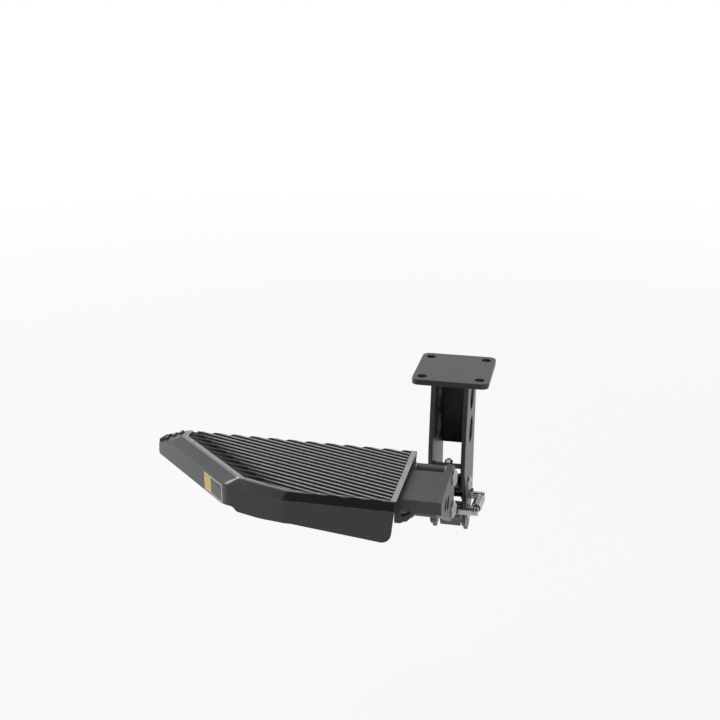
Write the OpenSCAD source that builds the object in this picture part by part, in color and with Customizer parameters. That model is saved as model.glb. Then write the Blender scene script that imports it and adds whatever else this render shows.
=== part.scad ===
// Retractable bed step: a cast tread deck on two parallel links.
// The deck is drawn stowed, and swings down and back on its links.
// X runs along the deck towards the hinge, Y towards the mounting bracket, Z up.
// The origin is the middle of the mounting flange's top face.
// Deck places are measured from the front corner where the two cut edges meet.

/* [Deck outline] */
// Length of the straight front edge that ends at the hinge side
deck_straight = 128; // [100:1:180]
// Length along X of the short slanted front edge
nose_x = 65; // [45:1:85]
// How far the short slanted front edge runs back
nose_y = 21.5; // [12:0.5:30]
// Length along X of the large corner cut
corner_x = 107.5; // [80:0.5:125]
// Width of the flat top at its free end
end_width = 18.5; // [14:0.5:24]
// Flat top from the front edge to the back edge
deck_depth = 139; // [125:0.5:160]
// Height of the bevel all round the top
bevel_drop = 8; // [6:0.5:10]
// Width of the bevel on the large corner cut
bevel_corner = 15; // [10:0.5:18]
// Width of the bevel on the two other front edges
bevel_front = 10.5; // [8:0.5:14]
// Width of the bevel on the back edge
bevel_back = 4; // [3:0.5:6]
// Width of the upright face at the free end's tip
tip_face = 2.4; // [1.5:0.1:4]
// Drop of the end bevel for each mm towards the tip
end_slope = 0.43; // [0.38:0.01:0.48]
// Radius of the upright corner between the two cut front edges
corner_r = 20; // [12:0.5:26]
// Radius of the upright corner where the straight front edge starts
front_r = 22; // [12:0.5:28]
// Radius of those two corners on the flat top
hip_r = 6; // [3:0.5:10]
// Radius of the two upright corners at the free end's tip
tip_r = 1.5; // [0.5:0.1:1.5]

/* [Deck walls] */
// Thickness of the top skin under the bevel line
top_skin = 8; // [7:0.5:9]
// Thickness of the skirt wall
skirt_wall = 4; // [3:0.25:5]
// Depth of the skirt below the top along the large corner cut
skirt_corner = 38; // [35:0.5:42]
// Depth of the skirt at the front corner
skirt_notch = 35.5; // [33:0.5:38]
// Depth of the lip under the short slanted edge
skirt_lip = 40.5; // [38:0.5:43]
// Depth of the skirt where the straight front edge starts
skirt_front = 37; // [35:0.5:40]
// Depth of the skirt at the hinge end
skirt_hinge = 48.5; // [45:0.5:54]
// Depth of the back wall below the top
back_wall_depth = 21; // [16:0.5:24]
// Length of the full-depth back wall at the tip
tip_wall_len = 30; // [24:1:36]
// Radius of the skirt's lower corner at the hinge side
skirt_corner_r = 12; // [6:0.5:15]
// How far the skirt's hinge side leans in towards its foot
skirt_lean = 4; // [1:0.5:6]
// Radius of the skirt's lower corner at the free end's tip
tip_corner_r = 3; // [1:0.5:6]
// How far the free end's tip leans in towards the top
tip_lean = 3; // [1:0.5:5]
// Length along X of the rise from the corner cut's skirt to the notch
notch_rise = 14; // [10:0.5:18]
// Length along X of the notch at the front corner
notch_len = 4; // [2:0.5:6]
// Length along X of the step down from the notch to the lip
lip_step = 9; // [7:0.5:12]
// Length along X of the lip's straight part
lip_len = 21; // [15:0.5:26]
// How far past the straight front edge's start the lower edge blends into it
front_blend = 8; // [4:0.5:14]
// Thickness of the stiffening ribs under the top
under_rib_wall = 3; // [2:0.25:4]
// Depth of the stiffening ribs below the top
under_rib_depth = 24; // [18:0.5:26]
// Spacing of the stiffening ribs
under_rib_pitch = 36; // [30:0.5:38]

/* [Tread] */
// Depth of the tread recess below the rim
tread_depth = 2.6; // [2:0.1:3.4]
// Distance between tread ribs
tread_pitch = 7.8; // [6.5:0.1:10]
// Width of a tread rib at its top
tread_rib_top = 3; // [2:0.1:4]
// Width of a tread rib at its root
tread_rib_root = 4.2; // [3:0.1:5.5]
// How far the rib tops lie below the rim
tread_rib_sunk = 0.2; // [0:0.1:0.6]
// Width of the flat rim along the large corner cut
rim_corner = 5; // [3:0.25:8]
// Width of the flat rim along the other front edges
rim_front = 3; // [2:0.25:5]
// Width of the flat rim at the hinge end
rim_hinge = 7; // [5:0.5:12]
// Width of the flat rim at the free end
rim_end = 6; // [4:0.5:10]
// Width of the smooth floor between the corner rim and the rib tips
smooth_floor = 17; // [10:0.5:24]

/* [Free end] */
// Distance along X from the flat top to the start of the tip's facet
facet_start = 12; // [8:0.5:16]
// Distance along X from the flat top to the facet's end at the back edge
facet_back = 33.5; // [30:0.5:36]
// Distance along X from the flat top to the middle of the facet's lower edge
facet_mid = 29.5; // [26:0.5:32]
// How far the facet's lower edge lies below the end bevel
facet_drop = 2.8; // [1.5:0.1:4]
// Thickness of the thin rim that stands up at the back of the end bevel
end_rim_wall = 2; // [1.5:0.1:3]
// How far the thin rim stands above the end bevel
end_rim_h = 3.4; // [2:0.1:4]
// Width of an anti-slip tooth on the end bevel
tooth_w = 5; // [3:0.5:6]
// Length of an anti-slip tooth
tooth_len = 9; // [6:0.5:12]
// Height of an anti-slip tooth above the end bevel
tooth_h = 2; // [1.5:0.1:3]
// Distance between the anti-slip teeth
tooth_pitch = 10; // [8:0.5:11]
// Number of anti-slip teeth
tooth_count = 3; // [2:1:3]

/* [Linkage] */
// Distance between the two pivots of a link
link_len = 220; // [190:1:250]
// Distance between the lower and the upper pivots
pivot_gap = 44; // [40:0.5:52]
// Direction of the stowed links above the horizontal, pointing to the rear
stow_rise = 28; // [20:0.5:34]
// Angle that the links turn through between stowed and deployed
swing = 64; // [50:1:70]
// Width of a link over its bush flanges
link_w = 38; // [30:0.5:44]
// Radius of a link's end hub
hub_r = 13; // [12:0.25:15]
// Thickness of a link's blade near the bracket
blade_root = 16; // [13:0.5:18]
// Thickness of a link's blade near the deck
blade_tip = 12; // [10:0.5:14]
// Depth of the pockets in a link's faces
pocket_depth = 3.4; // [2:0.2:4]
// Width of the edge left round a link's pockets
pocket_edge = 5; // [4:0.5:7]
// Radius of the corners of a link's pockets
pocket_r = 4; // [3:0.5:5]
// Width of the rib between a link's two pockets
middle_rib = 6; // [4:0.5:8]
// How far each side of a link's blade is waisted in
blade_waist = 2.5; // [1:0.25:4]
// Depth of the deck's upper pivot below the top
pivot_drop = 22; // [21.5:0.5:26]
// Distance of the deck's pivots from the back edge
pivot_inset = 17.5; // [16:0.5:24]

/* [Pivot hardware] */
// Radius of a pivot pin
pin_r = 7; // [6:0.25:8]
// Radius of a pin's threaded end
pin_thread_r = 6; // [5:0.25:6.75]
// Radius of a pin's head
pin_head_r = 11; // [10:0.25:12]
// Height of a pin's head
pin_head_h = 6; // [4:0.5:7]
// Wall of a flanged bush
bush_wall = 2.5; // [2:0.25:3.5]
// Length of a bush inside its hub
bush_len = 14; // [10:0.5:16]
// Thickness of a bush flange
bush_flange = 1.5; // [1:0.1:2]
// Height of a pivot nut
pin_nut_h = 10; // [8:0.5:12]
// Width across the flats of a pivot nut
pin_nut_af = 18; // [17:0.5:20]
// Thickness of the washers under the pivot nuts
pin_washer_t = 2; // [1:0.25:2.5]
// How far a pivot washer reaches past its pin
pin_washer_rim = 4.5; // [3:0.25:6]
// Radius of the dome on a pin's head
pin_dome_r = 16; // [13:0.5:24]
// Width across the flats of the socket in a pin's head
pin_socket_af = 8; // [6:0.5:10]
// Depth of the socket in a pin's head
pin_socket_depth = 3.5; // [2:0.25:4.5]
// Length of thread that shows past a nut
thread_past = 2; // [1:0.25:3]

/* [Hinge yoke] */
// Thickness of the yoke's two cheeks
yoke_cheek = 8; // [6:0.5:10]
// Thickness of the yoke's webs
yoke_web = 6; // [4:0.5:7]
// Thickness of the yoke's base under the deck
yoke_base = 6; // [5:0.5:8]
// Length of the yoke's base under the deck
yoke_base_len = 92; // [80:1:105]
// Distance of the yoke's front face behind the front edge
yoke_front = 23.5; // [20:0.5:30]
// Depth of the inner cheek at the yoke's front below the top
yoke_nose_inner = 40; // [34:0.5:44]
// Depth of the outer cheek at the yoke's front below the top
yoke_nose_outer = 25; // [20:0.5:30]
// Radius of the yoke's ends round the pivots
yoke_end_r = 15; // [14:0.25:17]
// Radius of the yoke bolts
yoke_bolt_r = 4; // [3:0.25:5]
// Spacing of the yoke bolts along X
yoke_bolt_x = 56; // [46:1:60]
// Spacing of the yoke bolts along Y
yoke_bolt_y = 46; // [36:1:50]
// Radius of the front lightening hole in the yoke's cheeks
cheek_hole_front = 8; // [5:0.5:9]
// Radius of the rear lightening hole in the yoke's cheeks
cheek_hole_rear = 9.5; // [6:0.5:10]
// Distance from the yoke's front to its front lightening hole
cheek_hole_at = 36; // [32:0.5:40]
// Distance between the two lightening holes of a cheek
cheek_hole_gap = 22; // [20:0.5:24]
// Depth of the front lightening hole below the yoke's top
cheek_hole_drop = 21; // [18:0.5:23]
// Width of the low part of the yoke's front wall beside the inner cheek
nose_shelf = 7; // [5:0.5:10]
// Length of the slot in the yoke's front wall
slot_len = 13; // [10:0.5:14]
// Width of the slot in the yoke's front wall
slot_w = 6.5; // [4:0.25:8]
// Depth of the slot below the yoke's top
slot_drop = 17; // [14:0.5:19]
// Tilt of the slot
slot_tilt = 28; // [0:1:40]
// Room between the yoke's base and the pivot nuts
nut_room = 7; // [5:0.5:8]
// Room between the yoke's web and a link's hub
hub_room = 5; // [3:0.5:6]

/* [Mounting bracket] */
// Thickness of the bracket's steel plate
plate_t = 6; // [5:0.5:8]
// Thickness of the mounting flange
flange_t = 8; // [6:0.5:10]
// Size of the mounting flange along X
flange_x = 104; // [96:1:120]
// Size of the mounting flange along Y
flange_y = 110; // [100:1:130]
// Distance of the mounting holes along X
hole_x = 78; // [72:1:84]
// Distance of the mounting holes along Y
hole_y = 80; // [60:1:90]
// Radius of the mounting holes
hole_r = 6.5; // [5:0.25:8]
// Height of the flange's top face above the stowed deck
flange_rise = 45; // [30:1:80]
// Distance of the flange's middle forward of the bracket pivots
flange_ahead = 8; // [0:1:20]
// Radius of the bracket's lower end round the lower pivot
bracket_end_r = 22; // [20:0.5:26]
// Radius of the lightening holes in the bracket's cheeks
light_r = 19; // [12:0.5:21]
// Depth of the upper lightening hole's middle below the flange
light_drop = 32; // [28:0.5:36]
// Plate left between the two lightening holes
light_gap = 11.5; // [8:0.5:14]
// Radius of the flange's corners
flange_r = 10; // [6:0.5:14]
// How far the cheeks' top ends lie inside the flange
cheek_inset = 8; // [6:0.5:12]
// Height of the cheek's front corner above the stowed upper link's line
cheek_front_top = 45; // [35:1:60]
// Height of the cheek's lower front corner above that line
cheek_front_low = 10; // [6:0.5:14]
// Where the cheek's foot starts forward of the pivots
foot_start = 12; // [8:0.5:16]
// Where the cheek's foot ends forward of the pivots
foot_end = 30; // [24:0.5:34]
// Plate left round the bracket's spring post
post_edge = 12; // [9:0.5:14]
// Height above the upper pivot where the bracket's back plate starts
back_plate_low = 40; // [30:1:50]

/* [Stops] */
// Distance of the deployed stop from the lower pivot
stop_reach = 31; // [29:0.5:34]
// Radius of the rubber sleeve on the deployed stop
stop_sleeve_r = 8; // [7:0.25:9]
// Radius of the deployed stop's bolt
stop_bolt_r = 4; // [3:0.25:5]
// Length of the heel on the lower link from its pivot
heel_len = 35; // [32:0.5:38]
// Width of the heel on the lower link
heel_w = 12; // [9:0.5:14]
// Angle from the link to its heel
heel_turn = 150; // [140:1:160]
// Radius of the rubber stow bumper
bumper_r = 9; // [6:0.25:11]
// Height of the rubber stow bumper
bumper_h = 10; // [7:0.5:13]
// Distance of the stow bumper from the upper pivot
bumper_reach = 44; // [38:0.5:50]
// How much narrower the stow bumper is at its tip
bumper_taper = 1.5; // [0.5:0.25:3]
// Radius of the stow bumper's stud
bumper_stud_r = 3; // [2.5:0.25:4]
// Length of the cross plate that carries the stow bumper
bumper_plate_len = 28; // [24:1:34]

/* [Spring] */
// Distance of the spring's two posts from the lower pivot
spring_arm = 46; // [44:0.5:52]
// Diameter of the spring wire
wire_d = 2.8; // [2:0.1:3]
// Outer diameter of the spring's coil
coil_od = 15; // [13:0.5:16]
// Number of turns in the spring
coil_turns = 17; // [12:1:17]
// Radius of a spring post's neck
post_neck_r = 3.5; // [3:0.25:4.5]
// Radius of a spring post's shoulder
post_r = 6; // [5:0.25:7]
// Thickness of a spring post's head
post_head = 3; // [2:0.25:4]
// Length of the post's stud inside the link
post_stud = 13; // [10:0.5:14]
// Wall of the boss round that stud
post_boss_wall = 2.5; // [2:0.25:3.5]

/* [Hidden] */
$fn = 64;

// Clearances: round a pin, beside a link, under a rubber stop, round a screw in its hole,
// between the deck's end and the yoke's gap, between the spring's turns, round its hooks
fit = 0.05;
side_gap = 0.5;
seat_gap = 0.3;
hole_slack = 0.4;
end_gap = 1;
coil_gap = 0.15;
hook_play = 0.2;
hook_room = 0.6;

// Reach of a cutting block, and how far a cut runs past the face it opens
far = 1000;
over = 1;

// Deck corners seen from above, in order round the flat top from the free end
deck_end_x = nose_x + deck_straight;
back_y = deck_depth - nose_y;
corner_y = back_y - end_width;
TOP = [[-corner_x, corner_y], [0, 0], [nose_x, -nose_y], [deck_end_x, -nose_y],
    [deck_end_x, back_y], [-corner_x, back_y]];
corner_out = normal_of(TOP, 0);
tip_reach = ((end_width + bevel_back - tip_face) * corner_out[1] - bevel_corner) / corner_out[0];
BEVELS = [bevel_corner, bevel_front, bevel_front, 0, bevel_back, tip_reach];
DROPS = [bevel_drop, bevel_drop, bevel_drop, 0, bevel_drop, end_slope * tip_reach];
free_end_x = -corner_x - tip_reach;

// Pivots in the YZ plane: deck side first, then bracket side
deck_pivot_y = back_y - pivot_inset;
upper_pivot_z = -pivot_drop;
lower_pivot_z = upper_pivot_z - pivot_gap;
stow_angle = 180 - stow_rise;
base_y = deck_pivot_y + link_len * cos(stow_rise);
base_lower_z = lower_pivot_z - link_len * sin(stow_rise);
base_upper_z = base_lower_z + pivot_gap;

// Stations along X
gap_w = link_w + 2 * side_gap;
gap_x0 = deck_end_x + end_gap;
gap_x1 = gap_x0 + gap_w;
link_x0 = gap_x0 + side_gap;
hub_w = link_w - 2 * bush_flange;
yoke_x1 = gap_x1 + yoke_cheek;
bracket_x1 = gap_x1 + plate_t;

// Origin of the whole part
origin = [(gap_x0 + gap_x1) / 2, base_y + flange_ahead, flange_rise];

// Spring
spring_x = bracket_x1 + pin_head_h + end_gap + coil_od / 2;
mid_angle = stow_angle + swing / 2;
half_swing = swing / 2;
spring_len = 2 * spring_arm * cos(half_swing / 2);
spring_turn = (stow_angle + mid_angle) / 2;
wire_r = wire_d / 2;
coil_r = coil_od / 2 - wire_r;
loop_r = post_neck_r + wire_r + hook_play;
stud_r = post_r - 1;

// Plain vector helpers
function unit(v) = v / norm(v);
function ease(t) = (1 - cos(180 * t)) / 2;
function turned(v) = [v[1], -v[0]] / norm(v);
function normal_of(pts, i) = turned(pts[(i + 1) % len(pts)] - pts[i]);
function meet(n1, c1, n2, c2) = [c1 * n2[1] - c2 * n1[1], n1[0] * c2 - n2[0] * c1]
    / (n1[0] * n2[1] - n1[1] * n2[0]);
function grown(pts, by) = [for (i = [0 : len(pts) - 1])
    let (h = (i + len(pts) - 1) % len(pts), a = normal_of(pts, h), b = normal_of(pts, i))
    meet(a, a * pts[h] + by[h], b, b * pts[i] + by[i])];
function along(angle, d) = [d * cos(angle), d * sin(angle)];
function touch(p, c, r) = c + along(atan2(p[1] - c[1], p[0] - c[0]) + acos(r / norm(p - c)), r);

// A standard hexagon's width across the flats, a nut's height and a bolt head's height,
// each from the radius of the thread
function hex_af(r) = 3.2 * r;
function nut_h(r) = 1.65 * r;
function head_h(r) = 1.25 * r;

// Moves from the deck's corner to the part's own origin
module placed() {
    translate(-origin) children();
}

// Turns an outline drawn as Y and Z into a plate from x0 to x1
module plate_yz(x0, x1) {
    translate([x0, 0, 0]) rotate([90, 0, 90]) linear_extrude(x1 - x0) children();
}

// A round bar along X
module bar_x(x0, x1, y, z, r) {
    translate([x0, y, z]) rotate([0, 90, 0]) cylinder(h = x1 - x0, r = r);
}

// A hexagonal bar along X
module hex_x(x0, x1, y, z, af) {
    translate([x0, y, z]) rotate([0, 90, 0]) cylinder(h = x1 - x0, d = af / cos(30), $fn = 6);
}

// A rectangle with round corners, made of plain rectangles and circles
module soft_rect(x, y, r) {
    square([x - 2 * r, y], center = true);
    square([x, y - 2 * r], center = true);
    for (i = [-1, 1], j = [-1, 1]) translate([i * (x / 2 - r), j * (y / 2 - r)]) circle(r);
}

// The deck's outline at the foot of its bevels, with its upright corners rounded for the skirt
OUTER = grown(TOP, BEVELS);
CORNER_R = [tip_r, corner_r, front_r, 0, 0, tip_r];
function arc_at(pts, i, r) = let (a = normal_of(pts, (i + len(pts) - 1) % len(pts)),
    b = normal_of(pts, i), c = pts[i] - unit(a + b) * r / sqrt((1 + a * b) / 2))
    r == 0 ? [pts[i]] : [for (t = [0 : 0.125 : 1]) c + r * unit(a * (1 - t) + b * t)];
SKIRT = [for (i = [0 : len(OUTER) - 1]) each arc_at(OUTER, i, CORNER_R[i])];

// Everything above the sloping plane of one bevel
module bevel_cut(i) {
    p = OUTER[i];
    d = OUTER[(i + 1) % len(OUTER)] - p;
    translate([p[0], p[1], -DROPS[i]]) rotate([0, 0, atan2(d[1], d[0])])
        rotate([atan(DROPS[i] / BEVELS[i]), 0, 0])
            translate([-far / 2, -far / 2, 0]) cube([far, far, far]);
}

// Everything above the plane through three points, given anticlockwise from above
module plane_cut(a, b, c) {
    u = unit(b - a);
    w = unit(cross(b - a, c - a));
    v = cross(w, u);
    multmatrix([[u[0], v[0], w[0], a[0]], [u[1], v[1], w[1], a[1]], [u[2], v[2], w[2], a[2]]])
        translate([-far / 2, -far / 2, 0]) cube([far, far, far]);
}

// Round hip between two bevels: everything above the facets from the skirt's arc to the top's
module hip_cut(i) {
    low = arc_at(OUTER, i, CORNER_R[i]);
    high = arc_at(TOP, i, hip_r);
    for (k = [0 : len(low) - 2]) plane_cut([low[k][0], low[k][1], -bevel_drop],
        [low[k + 1][0], low[k + 1][1], -bevel_drop], [high[k][0], high[k][1], 0]);
}

// A point on the end bevel, at a distance past the flat top
function end_point(dx, y, down = 0) = [-corner_x - dx, y, -end_slope * dx - down];

// Y where the corner bevel meets the end bevel, and where the corner skirt's plane lies
function hip_y(dx) = corner_y
    + (end_slope * dx * bevel_corner / bevel_drop + corner_out[0] * dx) / corner_out[1];
function skirt_y(dx) = corner_y + (bevel_corner + corner_out[0] * dx) / corner_out[1];

// The facet between the end bevel and the corner skirt
module tip_facet() {
    plane_cut(end_point(facet_start, hip_y(facet_start)),
        end_point(facet_back, back_y + bevel_back),
        end_point(facet_mid, skirt_y(facet_mid), facet_drop));
}

// Lower edge of the skirt as X and Z, from the tip to the hinge end
function eased(x0, x1, z0, z1) = [for (t = [0 : 0.125 : 1])
    [x0 + (x1 - x0) * t, z0 + (z1 - z0) * ease(t)]];
notch_x0 = OUTER[1][0] + notch_rise / 4;
notch_x1 = notch_x0 + notch_len;
lip_x = notch_x1 + lip_step;
skirt_line = concat(
    [for (a = [180 : 15 : 270]) [free_end_x + tip_corner_r * (1 + cos(a)),
        -skirt_corner + tip_corner_r * (1 + sin(a))]],
    eased(notch_x0 - notch_rise, notch_x0, -skirt_corner, -skirt_notch),
    eased(notch_x1, lip_x, -skirt_notch, -skirt_lip),
    eased(lip_x + lip_len, OUTER[2][0] + front_blend, -skirt_lip, -skirt_front));
hinge_arc = [for (a = [-105 : 14 : -7]) [deck_end_x - skirt_lean - skirt_corner_r * (1 - cos(a)),
    -skirt_hinge + skirt_corner_r * (1 + sin(a))]];

// The deck's outer form with its bevels and shaped lower edge
module deck_form() {
    intersection() {
        translate([0, 0, -far / 2]) linear_extrude(far) polygon(SKIRT);
        translate([0, far / 2, 0]) rotate([90, 0, 0]) linear_extrude(far)
            polygon(concat(skirt_line, hinge_arc, [[deck_end_x, 0], [free_end_x + tip_lean, 0]]));
        difference() {
            union() {
                difference() {
                    translate([free_end_x, -far / 2, -far / 2]) cube([far, far, far / 2]);
                    for (i = [0, 1, 2, 4, 5]) bevel_cut(i);
                    for (i = [1, 2]) hip_cut(i);
                    tip_facet();
                }
                end_rim();
                end_teeth();
            }
            translate([free_end_x + tip_wall_len, back_y - skirt_wall - over, -far])
                cube([far, far, far - back_wall_depth]);
        }
    }
}

// Thin rim that stands up along the back of the end bevel
module end_rim() {
    low = end_slope * tip_reach + facet_drop;
    translate([-corner_x, back_y + bevel_back, 0]) rotate([90, 0, 0])
        linear_extrude(end_rim_wall) polygon([[0, -bevel_drop / 4],
            [-facet_back, end_rim_h - end_slope * facet_back],
            [end_rim_wall / 2 - tip_reach, end_rim_h / 3 - end_slope * tip_reach],
            [-tip_reach, -low], [0, -low]]);
}

// Short anti-slip teeth between the end bevel and its rim
module end_teeth() {
    difference() {
        for (k = [1 : tooth_count]) translate([-corner_x - k * tooth_pitch - tooth_w / 2,
            back_y + bevel_back - tooth_len, -end_slope * tip_reach])
            cube([tooth_w, tooth_len - end_rim_wall / 2, end_slope * tip_reach]);
        translate([0, 0, tooth_h]) bevel_cut(5);
    }
}

// The space under the top between the skirts, reaching a little into them for the ribs
module deck_cavity(into = 0) {
    by = [bevel_corner - skirt_wall, bevel_front - skirt_wall, bevel_front - skirt_wall, skirt_wall,
        bevel_back - skirt_wall, tip_reach - 3 * skirt_wall];
    difference() {
        translate([0, 0, -far]) linear_extrude(far - top_skin + into)
            polygon(grown(TOP, [for (b = by) b + into]));
        translate([0, 0, into - skirt_wall]) bevel_cut(5);
        translate([0, 0, into - skirt_wall]) tip_facet();
    }
}

// Stiffening ribs under the top, kept off the yoke's base
module under_ribs() {
    reach = deck_end_x - yoke_base_len - 2 * under_rib_wall;
    intersection() {
        deck_cavity(over);
        union() {
            for (x = [reach : -under_rib_pitch : free_end_x])
                translate([x - under_rib_wall, -far / 2, -under_rib_depth])
                    cube([under_rib_wall, far, under_rib_depth]);
            for (y = [back_y - under_rib_pitch : -under_rib_pitch : -nose_y])
                translate([free_end_x, y, -under_rib_depth])
                    cube([reach - free_end_x, under_rib_wall, under_rib_depth]);
        }
    }
}

// The tread ribs, parallel to the short slanted edge
module tread_ribs() {
    field = [[-corner_x * back_y / corner_y, back_y], TOP[1], TOP[2], TOP[3], TOP[4]];
    by = [-rim_corner - smooth_floor, 0, 0, 0, bevel_back + over];
    h = tread_depth - tread_rib_sunk;
    intersection() {
        translate([0, 0, -tread_depth - over]) linear_extrude(tread_depth + over)
            polygon(grown(field, by));
        rotate([0, 0, atan2(-nose_y, nose_x)])
            for (k = [1 : ceil((deck_depth + nose_x) / tread_pitch)])
                translate([-far / 2, k * tread_pitch - rim_front, -tread_depth])
                    rotate([90, 0, 90]) linear_extrude(far) polygon([[-tread_rib_root / 2, -over],
                        [tread_rib_root / 2, -over], [tread_rib_root / 2, 0],
                        [tread_rib_top / 2, h], [-tread_rib_top / 2, h],
                        [-tread_rib_root / 2, 0]]);
    }
}

// The sunk floor of the tread, open at the back edge, with its ribs left standing
module tread_recess() {
    floor_edge = [-rim_corner, -rim_front, -rim_front, -rim_hinge, bevel_back + over, -rim_end];
    difference() {
        translate([0, 0, -tread_depth]) linear_extrude(tread_depth + over)
            polygon(grown(TOP, floor_edge));
        tread_ribs();
    }
}

// Places of the four yoke bolts
function bolt_spots() = [for (i = [-1, 1], j = [-1, 1])
    [deck_end_x - yoke_base_len / 2 - bolt_shift + i * yoke_bolt_x / 2,
        yoke_mid_y + j * yoke_bolt_y / 2]];
bolt_shift = 1.5 * yoke_bolt_r;
yoke_front_y = -nose_y + yoke_front;
yoke_base_y1 = deck_pivot_y - pin_nut_af / 2 - nut_room;
yoke_mid_y = (yoke_front_y + yoke_base_y1 + bolt_shift) / 2;
yoke_top = -top_skin - seat_gap;
boss_h = 2 * yoke_bolt_r;
base_top = -top_skin - boss_h;
tapped_r = 0.85 * yoke_bolt_r;
tapped_len = boss_h + top_skin / 5;
screw_washer_t = 0.4 * yoke_bolt_r;
screw_under = base_top - yoke_base - screw_washer_t;

// Die-cast tread deck
module deck_casting() {
    color([0.20, 0.20, 0.21]) placed() difference() {
        union() {
            difference() {
                deck_form();
                deck_cavity();
                tread_recess();
            }
            under_ribs();
            for (p = bolt_spots()) translate([p[0], p[1], base_top])
                cylinder(h = boss_h, r = 2 * yoke_bolt_r);
        }
        for (p = bolt_spots()) translate([p[0], p[1], base_top - over])
            cylinder(h = tapped_len + over, r = tapped_r);
    }
}

// Side outline of a yoke cheek as Y and Z
module cheek_outline(nose) {
    low_front = [yoke_front_y, -nose];
    difference() {
        union() {
            polygon([[yoke_front_y, yoke_top], low_front,
                touch(low_front, [deck_pivot_y, lower_pivot_z], yoke_end_r),
                [deck_pivot_y, lower_pivot_z],
                [deck_pivot_y + yoke_end_r, lower_pivot_z],
                [deck_pivot_y + yoke_end_r, upper_pivot_z], [deck_pivot_y, yoke_top]]);
            translate([deck_pivot_y, lower_pivot_z]) circle(yoke_end_r);
            translate([deck_pivot_y, upper_pivot_z]) intersection() {
                circle(yoke_end_r);
                translate([-yoke_end_r, -yoke_end_r])
                    square([2 * yoke_end_r, yoke_end_r + yoke_top - upper_pivot_z]);
            }
        }
        translate([yoke_front_y + cheek_hole_at, yoke_top - cheek_hole_drop])
            circle(cheek_hole_front);
        translate([yoke_front_y + cheek_hole_at + cheek_hole_gap,
            yoke_top - cheek_hole_drop - cheek_hole_front]) circle(cheek_hole_rear);
    }
}

// Cast hinge yoke bolted under the deck's hinge end
module hinge_yoke() {
    x0 = gap_x0 - yoke_cheek;
    web_end = deck_pivot_y - hub_r - hub_room;
    shelf_x = gap_x0 + nose_shelf;
    rise = yoke_nose_inner - yoke_nose_outer;
    color([0.45, 0.45, 0.46]) placed() difference() {
        union() {
            plate_yz(x0, gap_x0) cheek_outline(yoke_nose_inner);
            plate_yz(gap_x1, yoke_x1) cheek_outline(yoke_nose_outer);
            translate([x0, yoke_front_y, yoke_top - yoke_web])
                cube([yoke_x1 - x0, web_end - yoke_front_y, yoke_web]);
            translate([0, yoke_front_y + yoke_web, 0]) rotate([90, 0, 0]) linear_extrude(yoke_web)
                difference() {
                    polygon([[x0, yoke_top], [x0, -yoke_nose_inner],
                        [shelf_x, -yoke_nose_inner + rise / 5],
                        [shelf_x + rise * 0.7, -yoke_nose_outer],
                        [yoke_x1, -yoke_nose_outer], [yoke_x1, yoke_top]]);
                    translate([gap_x0 + 0.7 * nose_shelf, yoke_top - slot_drop]) rotate(slot_tilt)
                        soft_rect(slot_len, slot_w, 0.49 * slot_w);
                }
            translate([deck_end_x - yoke_base_len, yoke_front_y, base_top - yoke_base])
                linear_extrude(yoke_base) difference() {
                    square([yoke_base_len, yoke_base_y1 - yoke_front_y]);
                    translate([yoke_base_len / 2 - bolt_shift, yoke_mid_y - yoke_front_y])
                        soft_rect(yoke_bolt_x - 5.5 * yoke_bolt_r, yoke_bolt_y, 2 * yoke_bolt_r);
                }
        }
        for (z = [upper_pivot_z, lower_pivot_z])
            bar_x(x0 - over, yoke_x1 + over, deck_pivot_y, z, pin_r + fit);
        for (p = bolt_spots()) translate([p[0], p[1], base_top - yoke_base - over])
            cylinder(h = yoke_base + 2 * over, r = yoke_bolt_r + hole_slack);
    }
}

// Four socket screws that hold the yoke
module yoke_bolts() {
    color([0.16, 0.16, 0.17]) placed() for (p = bolt_spots())
        translate([p[0], p[1], screw_under]) difference() {
            union() {
                cylinder(h = yoke_base + screw_washer_t + boss_h, r = tapped_r - fit);
                translate([0, 0, -2 * yoke_bolt_r])
                    cylinder(h = 2 * yoke_bolt_r, r = 1.6 * yoke_bolt_r);
            }
            translate([0, 0, -2 * yoke_bolt_r - over])
                cylinder(h = yoke_bolt_r + over, d = 1.7 * yoke_bolt_r, $fn = 6);
        }
}

// Washers under the yoke's screws
module yoke_washers() {
    color([0.62, 0.62, 0.63]) placed() for (p = bolt_spots())
        translate([p[0], p[1], screw_under]) difference() {
            cylinder(h = screw_washer_t, r = 2 * yoke_bolt_r);
            translate([0, 0, -over])
                cylinder(h = screw_washer_t + 2 * over, r = yoke_bolt_r + hole_slack);
        }
}

// Shoulder pin with a domed socket head at x1 and a threaded end below x0
module pivot_pin(x0, x1, y, z) {
    color([0.55, 0.55, 0.56]) placed() difference() {
        union() {
            bar_x(x0, x1, y, z, pin_r);
            bar_x(x0 - pin_washer_t - pin_nut_h - thread_past, x0 + over, y, z, pin_thread_r);
            translate([x1, y, z]) rotate([0, 90, 0]) intersection() {
                cylinder(h = pin_head_h, r = pin_head_r);
                translate([0, 0, pin_head_h - pin_dome_r]) sphere(pin_dome_r);
            }
        }
        hex_x(x1 + pin_head_h - pin_socket_depth, x1 + pin_head_h + over, y, z, pin_socket_af);
    }
}

// Lock nut with a round collar on a pin's threaded end
module pivot_nut(x0, y, z) {
    x1 = x0 - pin_washer_t;
    collar_x = x1 - 0.7 * pin_nut_h;
    difference() {
        union() {
            hex_x(collar_x, x1, y, z, pin_nut_af);
            bar_x(x1 - pin_nut_h, collar_x, y, z, 0.45 * pin_nut_af);
        }
        bar_x(x1 - pin_nut_h - over, x1 + over, y, z, pin_thread_r + fit);
    }
}

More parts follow.
